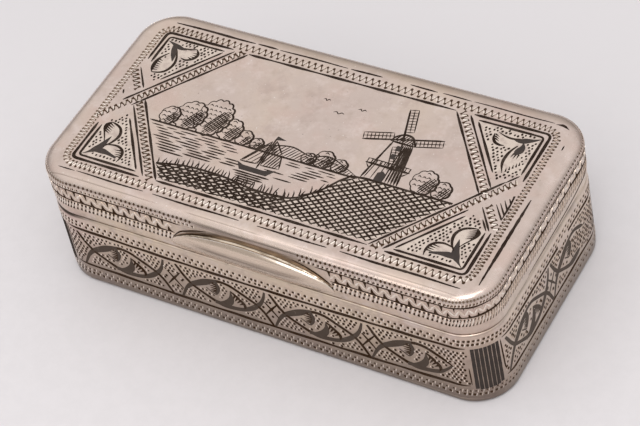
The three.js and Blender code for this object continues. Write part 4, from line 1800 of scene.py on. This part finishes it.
# Pairs of ticks that meet tail to tail, with bright slivers between
def slashRow(inlay, bright):
    look = lidRows
    high, low = look["slashes"]
    rise = high - low
    for s in roundWall(look["slashPitch"], look["waveGap"]):
        lean = look["slashLean"] * hand.uniform(0.85, 1.15)
        thick = look["slash"] * hand.uniform(0.85, 1.15) * (1 - 0.55 * endShare(s))
        inlay.tone = 3 if endShare(s) > 0.35 else 0
        foot, head = low + hand.uniform(-0.06, 0.06), high + hand.uniform(-0.06, 0.06)
        inlay.tick(s, foot, s + lean * 0.45, low + rise * 0.44, thick)
        inlay.tick(s + lean * 0.9, head, s + lean * 0.55, low + rise * 0.56, thick)
        t = s + look["slashPitch"] * 0.5
        bright.glint((t, low + 0.1), (t + lean, high), look["slashGlint"], look["slashGlintHeight"])


def makeLidRows(inlay, bright):
    look, heads = lidRows, punchRows["lidHeads"]
    # painted shadow, with some dirt, round the thumbpiece, and the painted shadow of the open seam
    for joint in thumbJointDirtAndShadow:
        inlay.stroke(curve(joint))
    for side in (1, -1):
        inlay.stroke([(u * side, v, width) for u, v, width in curve(seamShadowLine)])
    headRows(inlay, bright, heads)
    for s in roundWall(heads["pitch"], heads["gap"]):
        inlay.tone = 3 if endShare(s) > 0.1 else 0
        width = look["tick"] * hand.uniform(0.8, 1.2)
        inlay.tick(s + 0.2, heads["heights"][1], s, look["line"] + 0.12, width)
    inlay.tone = 0
    lineRound(inlay, look["line"], look["lineWidth"], look["lineGap"])
    lineRound(inlay, look["lowLine"], look["lineWidth"] * 1.2, look["waveGap"])
    waveBand(inlay, bright)
    slashRow(inlay, bright)


# One figure of the scroll, from its middle: two strands that cross at its corners, and a leaf on each
scroll = {
    "over": [(-8.1, -3.62, 0.35), (-7.6, -2.6, 0.45), (-6.9, -1.3, 0.6), (-5.9, -0.1, 0.85),
             (-4.5, 0.8, 1.15), (-3.1, 1.6, 1.25), (-1.9, 2.25, 0.85), (-0.9, 2.6, 0.6), (0.1, 2.72, 0.58),
             (1.5, 2.46, 0.58), (3.3, 1.5, 0.58), (4.7, 0.7, 0.56), (5.8, -0.05, 0.56), (6.8, -1.25, 0.54),
             (7.6, -2.8, 0.5), (8.0, -3.55, 0.4)],
    "under": [(7.6, 3.6, 0.35), (7.2, 2.2, 0.5), (6.6, 0.95, 0.65), (5.8, -0.05, 0.85), (4.6, -1.15, 0.9),
              (3.1, -2.05, 0.8), (1.5, -2.45, 0.85), (-0.5, -2.5, 1.05), (-2.0, -2.2, 0.7),
              (-3.5, -1.4, 0.56), (-5.0, -0.5, 0.56), (-5.8, 0.1, 0.56), (-6.8, 1.4, 0.54),
              (-7.6, 2.9, 0.5), (-8.0, 3.6, 0.4)],
    "blade": [(-2.1, -2.6, 0.3), (-0.6, -2.2, 0.95), (0.5, -1.55, 1.25), (1.1, -0.6, 1.0), (1.25, 0.4, 0.5),
              (1.27, 1.35, 0.08)],
    "curl": [(1.27, 1.3, 0.2), (1.95, 0.7, 0.5), (2.75, -0.1, 0.6), (3.3, -0.8, 0.6), (3.4, -1.6, 0.5),
             (3.0, -2.2, 0.35)],
    "fold": [(-1.2, 2.45, 0.4), (-0.92, 1.4, 0.8), (-1.05, 0.5, 0.72), (-1.6, -0.55, 0.3),
             (-2.3, -0.2, 0.22), (-3.1, 0.4, 0.2)],
    "shade": [(1.9, 0.5, -0.4, -0.9), (2.3, 0.1, -0.6, -0.9), (2.7, -0.35, -0.7, -0.7),
              (3.1, -0.8, -0.7, -0.5), (-1.2, 1.7, -1.3, 0.1), (-1.1, 1.25, -1.4, 0.0),
              (-1.1, 0.8, -1.3, -0.05), (-1.25, 0.35, -1.1, -0.05), (-1.4, -0.05, -0.9, 0.05),
              (-1.5, 2.1, -0.9, 0.05)],
    "shadeWidths": (0.38, 0.28, 0.05), "curlShades": 4,
    "overEnd": [(4.6, 0.7, 0.46), (5.5, 0.0, 0.2)],     # where a row ends the strands meet in a point
    "underEnd": [(5.45, 0.05, 0.4), (4.3, -1.2, 0.5)],
    "overWorn": [(4.2, 0.95, 0.1)],                     # or are rubbed away
    "underWorn": [(2.4, -2.3, 0.1)],
}


# tones are for the broad parts, which are greyer, and for the lines
def scrollEye(inlay, s0, z0, stretch, last, worn, tones, bold):
    def draw(line):
        inlay.stroke([(s0 + a * stretch, z0 + b, width * bold) for a, b, width in line])

    over, under, leaf = scroll["over"], scroll["under"], ["blade", "fold"]
    if last:
        over, under = over[:-5] + scroll["overEnd"], scroll["underEnd"] + under[5:]
    if worn:
        over, under, leaf = over[:11] + scroll["overWorn"], scroll["underWorn"] + under[6:], ["fold"]
    swell = len(under) - 6
    inlay.tone = tones[0]
    for line in (over[:8], under[:swell], *(scroll[name] for name in leaf)):
        draw(curve(line))
    inlay.tone = tones[1]
    for line in (over[7:], under[swell - 1:]):
        draw(curve(line))
    shades = scroll["shade"]
    if worn:
        shades = shades[scroll["curlShades"]:]
    else:
        draw(curve(scroll["curl"]))
    thick, middle, thin = scroll["shadeWidths"]
    for a, b, da, db in shades:
        draw([(a, b, thick), (a + da * 0.5, b + db * 0.5, middle), (a + da, b + db, thin)])


# A lattice where two figures meet; dots keep clear of it
latticeLook = {
    "bars": (((-1.3, 1.9, 0.2), (0.0, 0.1, 0.42), (1.3, -1.8, 0.2)),
             ((-1.3, -1.6, 0.2), (0.0, 0.1, 0.42), (1.3, 1.7, 0.2))),
    "dots": ((0.05, 1.6), (0.0, -1.5), (1.35, 0.1), (-1.35, 0.1)), "dot": 0.46,
    "clear": ((0.0, 0.9), (0.0, -0.8), (0.75, 0.1), (-0.75, 0.1), (0.9, 0.8), (-0.9, 0.8), (0.9, -0.8),
              (-0.9, -0.8)), "clearReach": 0.45,
}


def lattice(inlay, s, z0):
    look = latticeLook
    for bar in look["bars"]:
        inlay.stroke([(s + a, z0 + b, width) for a, b, width in bar])
    for a, b in look["dots"]:
        inlay.dot(s + a, z0 + b, look["dot"], 1.3, -0.3)
    for a, b in look["clear"]:
        inlay.mark(s + a, z0 + b, look["clearReach"])


def scrollPanel(inlay, bright, middle, eyes, half):
    look = baseRows
    z0 = look["eyeZ"]
    stretch = min(b - a for a, b in zip(eyes, eyes[1:])) / look["eyeRun"]
    short = len(eyes) == 2
    tones, bold = ((4, 4), look["endBold"]) if short else ((1, 0), 1.0)  # the short sides are paler
    for eye in eyes:
        end = eye == eyes[-1]
        scrollEye(inlay, middle + eye, z0, stretch, end and not short, end and short, tones, bold)
    for left, right in zip(eyes, eyes[1:]):
        lattice(inlay, middle + (left + right) / 2, z0)
    inlay.tone = 2 if short else 0
    for z in (look["line"], look["lowLine"]):
        line = []
        steps = round(2 * half / look["lineStep"])
        for step in range(steps + 1):
            s = -half + 2 * half * step / steps
            near = half - abs(s)
            wide = look["lineWidth"] * min(1.0, 0.2 + near / 2.5) * (1 + 0.18 * math.sin(s * 0.6 + z))
            line.append((middle + s, z + 0.03 * math.sin(s * 0.9), wide))
        if short and z == look["line"]:
            first, second = look["endGap"]
            inlay.stroke([spot for spot in line if spot[0] < middle + first])
            line = [spot for spot in line if spot[0] > middle + second]
        inlay.stroke(line)
    low, high = look["lowLine"] + look["dotEdges"][0], look["line"] - look["dotEdges"][1]
    area = [(middle - half, low), (middle + half, low), (middle + half, high), (middle - half, high)]
    stipple(inlay, area, look["dotPitch"], look["dot"], look["dotMargin"], bright)
    inlay.tone = 0


# Dark block of upright bars at each corner of the base
def cornerBlock(inlay, middle):
    look = baseRows
    bars, steps = look["blockBars"], look["blockSteps"]
    pitch = 2 * look["blockHalf"] / bars
    inlay.tone = 3
    for bar in range(bars):
        s = middle - look["blockHalf"] + pitch * (bar + 0.5)
        foot = look["blockFoot"] + (look["blockOuterFoot"] if bar in (0, bars - 1) else 0.0)
        line = []
        for step in range(steps + 1):
            z = foot + (look["blockTop"] - foot) * step / steps
            line.append((s, z, pitch - look["blockStripe"] + hand.uniform(-0.03, 0.03)))
        inlay.stroke(line)
    inlay.tone = 0
    for first, last, width in look["blockCuts"]:
        inlay.cut((middle + first[0], first[1]), (middle + last[0], last[1]), width, 1.2)


def makeBaseRows(inlay, bright):
    look = baseRows
    headRows(inlay, bright, punchRows["baseHeads"])
    headRows(inlay, bright, punchRows["baseFeet"])
    for corner in (cornerMiddle, backMiddle - cornerMiddle, backMiddle + cornerMiddle, -cornerMiddle):
        cornerBlock(inlay, corner)
    clear = look["blockHalf"] + look["blockGap"]
    for middle in (0.0, backMiddle):
        scrollPanel(inlay, bright, middle, look["frontEyes"], cornerMiddle - clear)
    for middle in (rightMiddle, -rightMiddle):
        scrollPanel(inlay, bright, middle, look["endEyes"], rightMiddle - cornerMiddle - clear)


# the lid wall's inlay also carries painted shadow lines round the thumbpiece and over the seam
lidInlayAndShade = Inlay(lidPlace)
lidBright = Inlay(lidPlace, inlayLook["brightProud"])
makeLidRows(lidInlayAndShade, lidBright)
lidInlayAndShade.finish("lidWallInlayAndShadeLines", "lid", "niello", [wallNielloAndShade, wallGrey, cutBrown, cutFaint])
lidBright.finish("lidWallBrightCuts", "lid", "silver", [wallCutAndCrestHighlight])
baseInlay = Inlay(basePlace)
baseBright = Inlay(basePlace, inlayLook["brightProud"])
makeBaseRows(baseInlay, baseBright)
baseInlay.finish("baseWallInlay", "base", "niello", [wallNielloAndShade, wallGrey, cutBrown, topGrey, endGrey])
baseBright.finish("baseWallBrightCuts", "base", "silver", [wallCutAndCrestHighlight])


# Camera at the photograph's angle; distances in millimetres
view = {
    "azimuth": 38.115, "elevation": 46.408, "roll": -12.94,
    "distance": 343.2, "aimZ": 11.28, "right": -0.05, "up": -2.28,
    "focalPixels": 2291.35, "imageWidth": 640, "sensor": 36.0,
    "clipStart": 0.01,  # metres
}


def makeCamera():
    az, el, roll = (math.radians(view[name]) for name in ("azimuth", "elevation", "roll"))
    back = Vector((math.sin(az) * math.cos(el), -math.cos(az) * math.cos(el), math.sin(el)))
    level = Vector((math.cos(az), math.sin(az), 0.0))
    upright = back.cross(level)
    right = level * math.cos(roll) + upright * math.sin(roll)
    up = upright * math.cos(roll) - level * math.sin(roll)
    spot = Vector((0, 0, view["aimZ"])) - right * view["right"] + up * view["up"] + back * view["distance"]
    data = bpy.data.cameras.new("camera")
    data.sensor_width = view["sensor"]
    data.lens = view["focalPixels"] / view["imageWidth"] * view["sensor"]
    data.clip_start = view["clipStart"]
    camera = linked("camera", data)
    rows = [(right[axis], up[axis], back[axis], spot[axis] * mm) for axis in range(3)]
    camera.matrix_world = Matrix([*rows, (0, 0, 0, 1)])
    bpy.context.scene.camera = camera


stage = {
    "floor": (0.69, 0.668, 0.683),
    "floorFarShade": (0.655, 0.637, 0.65),  # painted shade: the floor darker behind the box
    "farShadeFrom": (-20.0, 60.0), "farShadeLean": 0.3,
    "floorGrain": (0.655, 0.635, 0.648),
    "floorRoughness": 0.9,
    "floorHalf": 900.0,
    "high": (1.13, 1.115, 1.115),     # the soft room overhead
    "low": (0.44, 0.425, 0.415),      # and near the level of the table
    "highFrom": (0.0, 0.95),
}

# Soft boxes: where they stand, their size and power, all aimed at the box
lamps = {
    "key": {"at": (-700, 720, 480), "size": (700, 420), "watts": 0.2, "tint": (1.0, 0.985, 0.97)},
    "front": {"at": (-60, -900, 760), "size": (900, 500), "watts": 1.6, "tint": (1.0, 0.985, 0.97)},
    "over": {"at": (260, -380, 900), "size": (280, 220), "watts": 1.6, "tint": (1.0, 0.99, 0.98)},
    "rim": {"at": (-36, -28, 135), "size": (52, 36), "watts": 0.0046, "tint": (1.0, 0.99, 0.98)},
    "corner": {"at": (54, -41, 132), "size": (84, 26), "watts": 0.0110, "tint": (1.0, 0.99, 0.98)},
}


def makeFloor():
    half = stage["floorHalf"]
    corners = [(-half, -half, 0), (half, -half, 0), (half, half, 0), (-half, half, 0)]
    floor = linked("floor", meshOf("floor", corners, [(0, 1, 2, 3)]))
    finish, place = newFinish("palePaper")
    # painted shade: the floor darker behind the box
    far = (place.axis("Y") - place.axis("X") * stage["farShadeLean"]).between(*stage["farShadeFrom"])
    grain = place.noise(0.35, 5, 0.7).between(0.35, 0.65) * 0.5
    paper = place.mix(stage["floor"], stage["floorFarShade"], far * (place.noise(0.02, 3) * 0.2 + 0.9))
    paper = place.mix(paper, stage["floorGrain"], grain)
    coatWith(place, {"Base Color": paper, "Roughness": stage["floorRoughness"], "Specular IOR Level": 0.1})
    floor.data.materials.append(finish)


def makeLamps():
    for name, lamp in lamps.items():
        data = bpy.data.lights.new(name, "AREA")
        data.shape = "RECTANGLE"
        data.size, data.size_y = (side * mm for side in lamp["size"])
        data.energy = lamp["watts"]
        data.color = lamp["tint"]
        light = linked(name, data)
        light.location = Vector(lamp["at"]) * mm
        light.rotation_euler = (-Vector(lamp["at"])).to_track_quat("-Z", "Y").to_euler()


def makeRoom():
    world = bpy.data.worlds.new("softRoom")
    world.use_nodes = True
    world.node_tree.nodes.clear()
    room = Wire(world.node_tree)
    height = room.add("ShaderNodeTexCoord", out="Generated").axis("Z")
    colour = room.mix(stage["low"], stage["high"], height.between(*stage["highFrom"]))
    sky = room.add("ShaderNodeBackground", None, {"Color": colour, "Strength": 1.0})
    room.add("ShaderNodeOutputWorld", None, {"Surface": sky})
    bpy.context.scene.world = world


makeCamera()
makeFloor()
makeLamps()
makeRoom()
bpy.context.scene.view_settings.view_transform = "Standard"
print("camera and stage made")
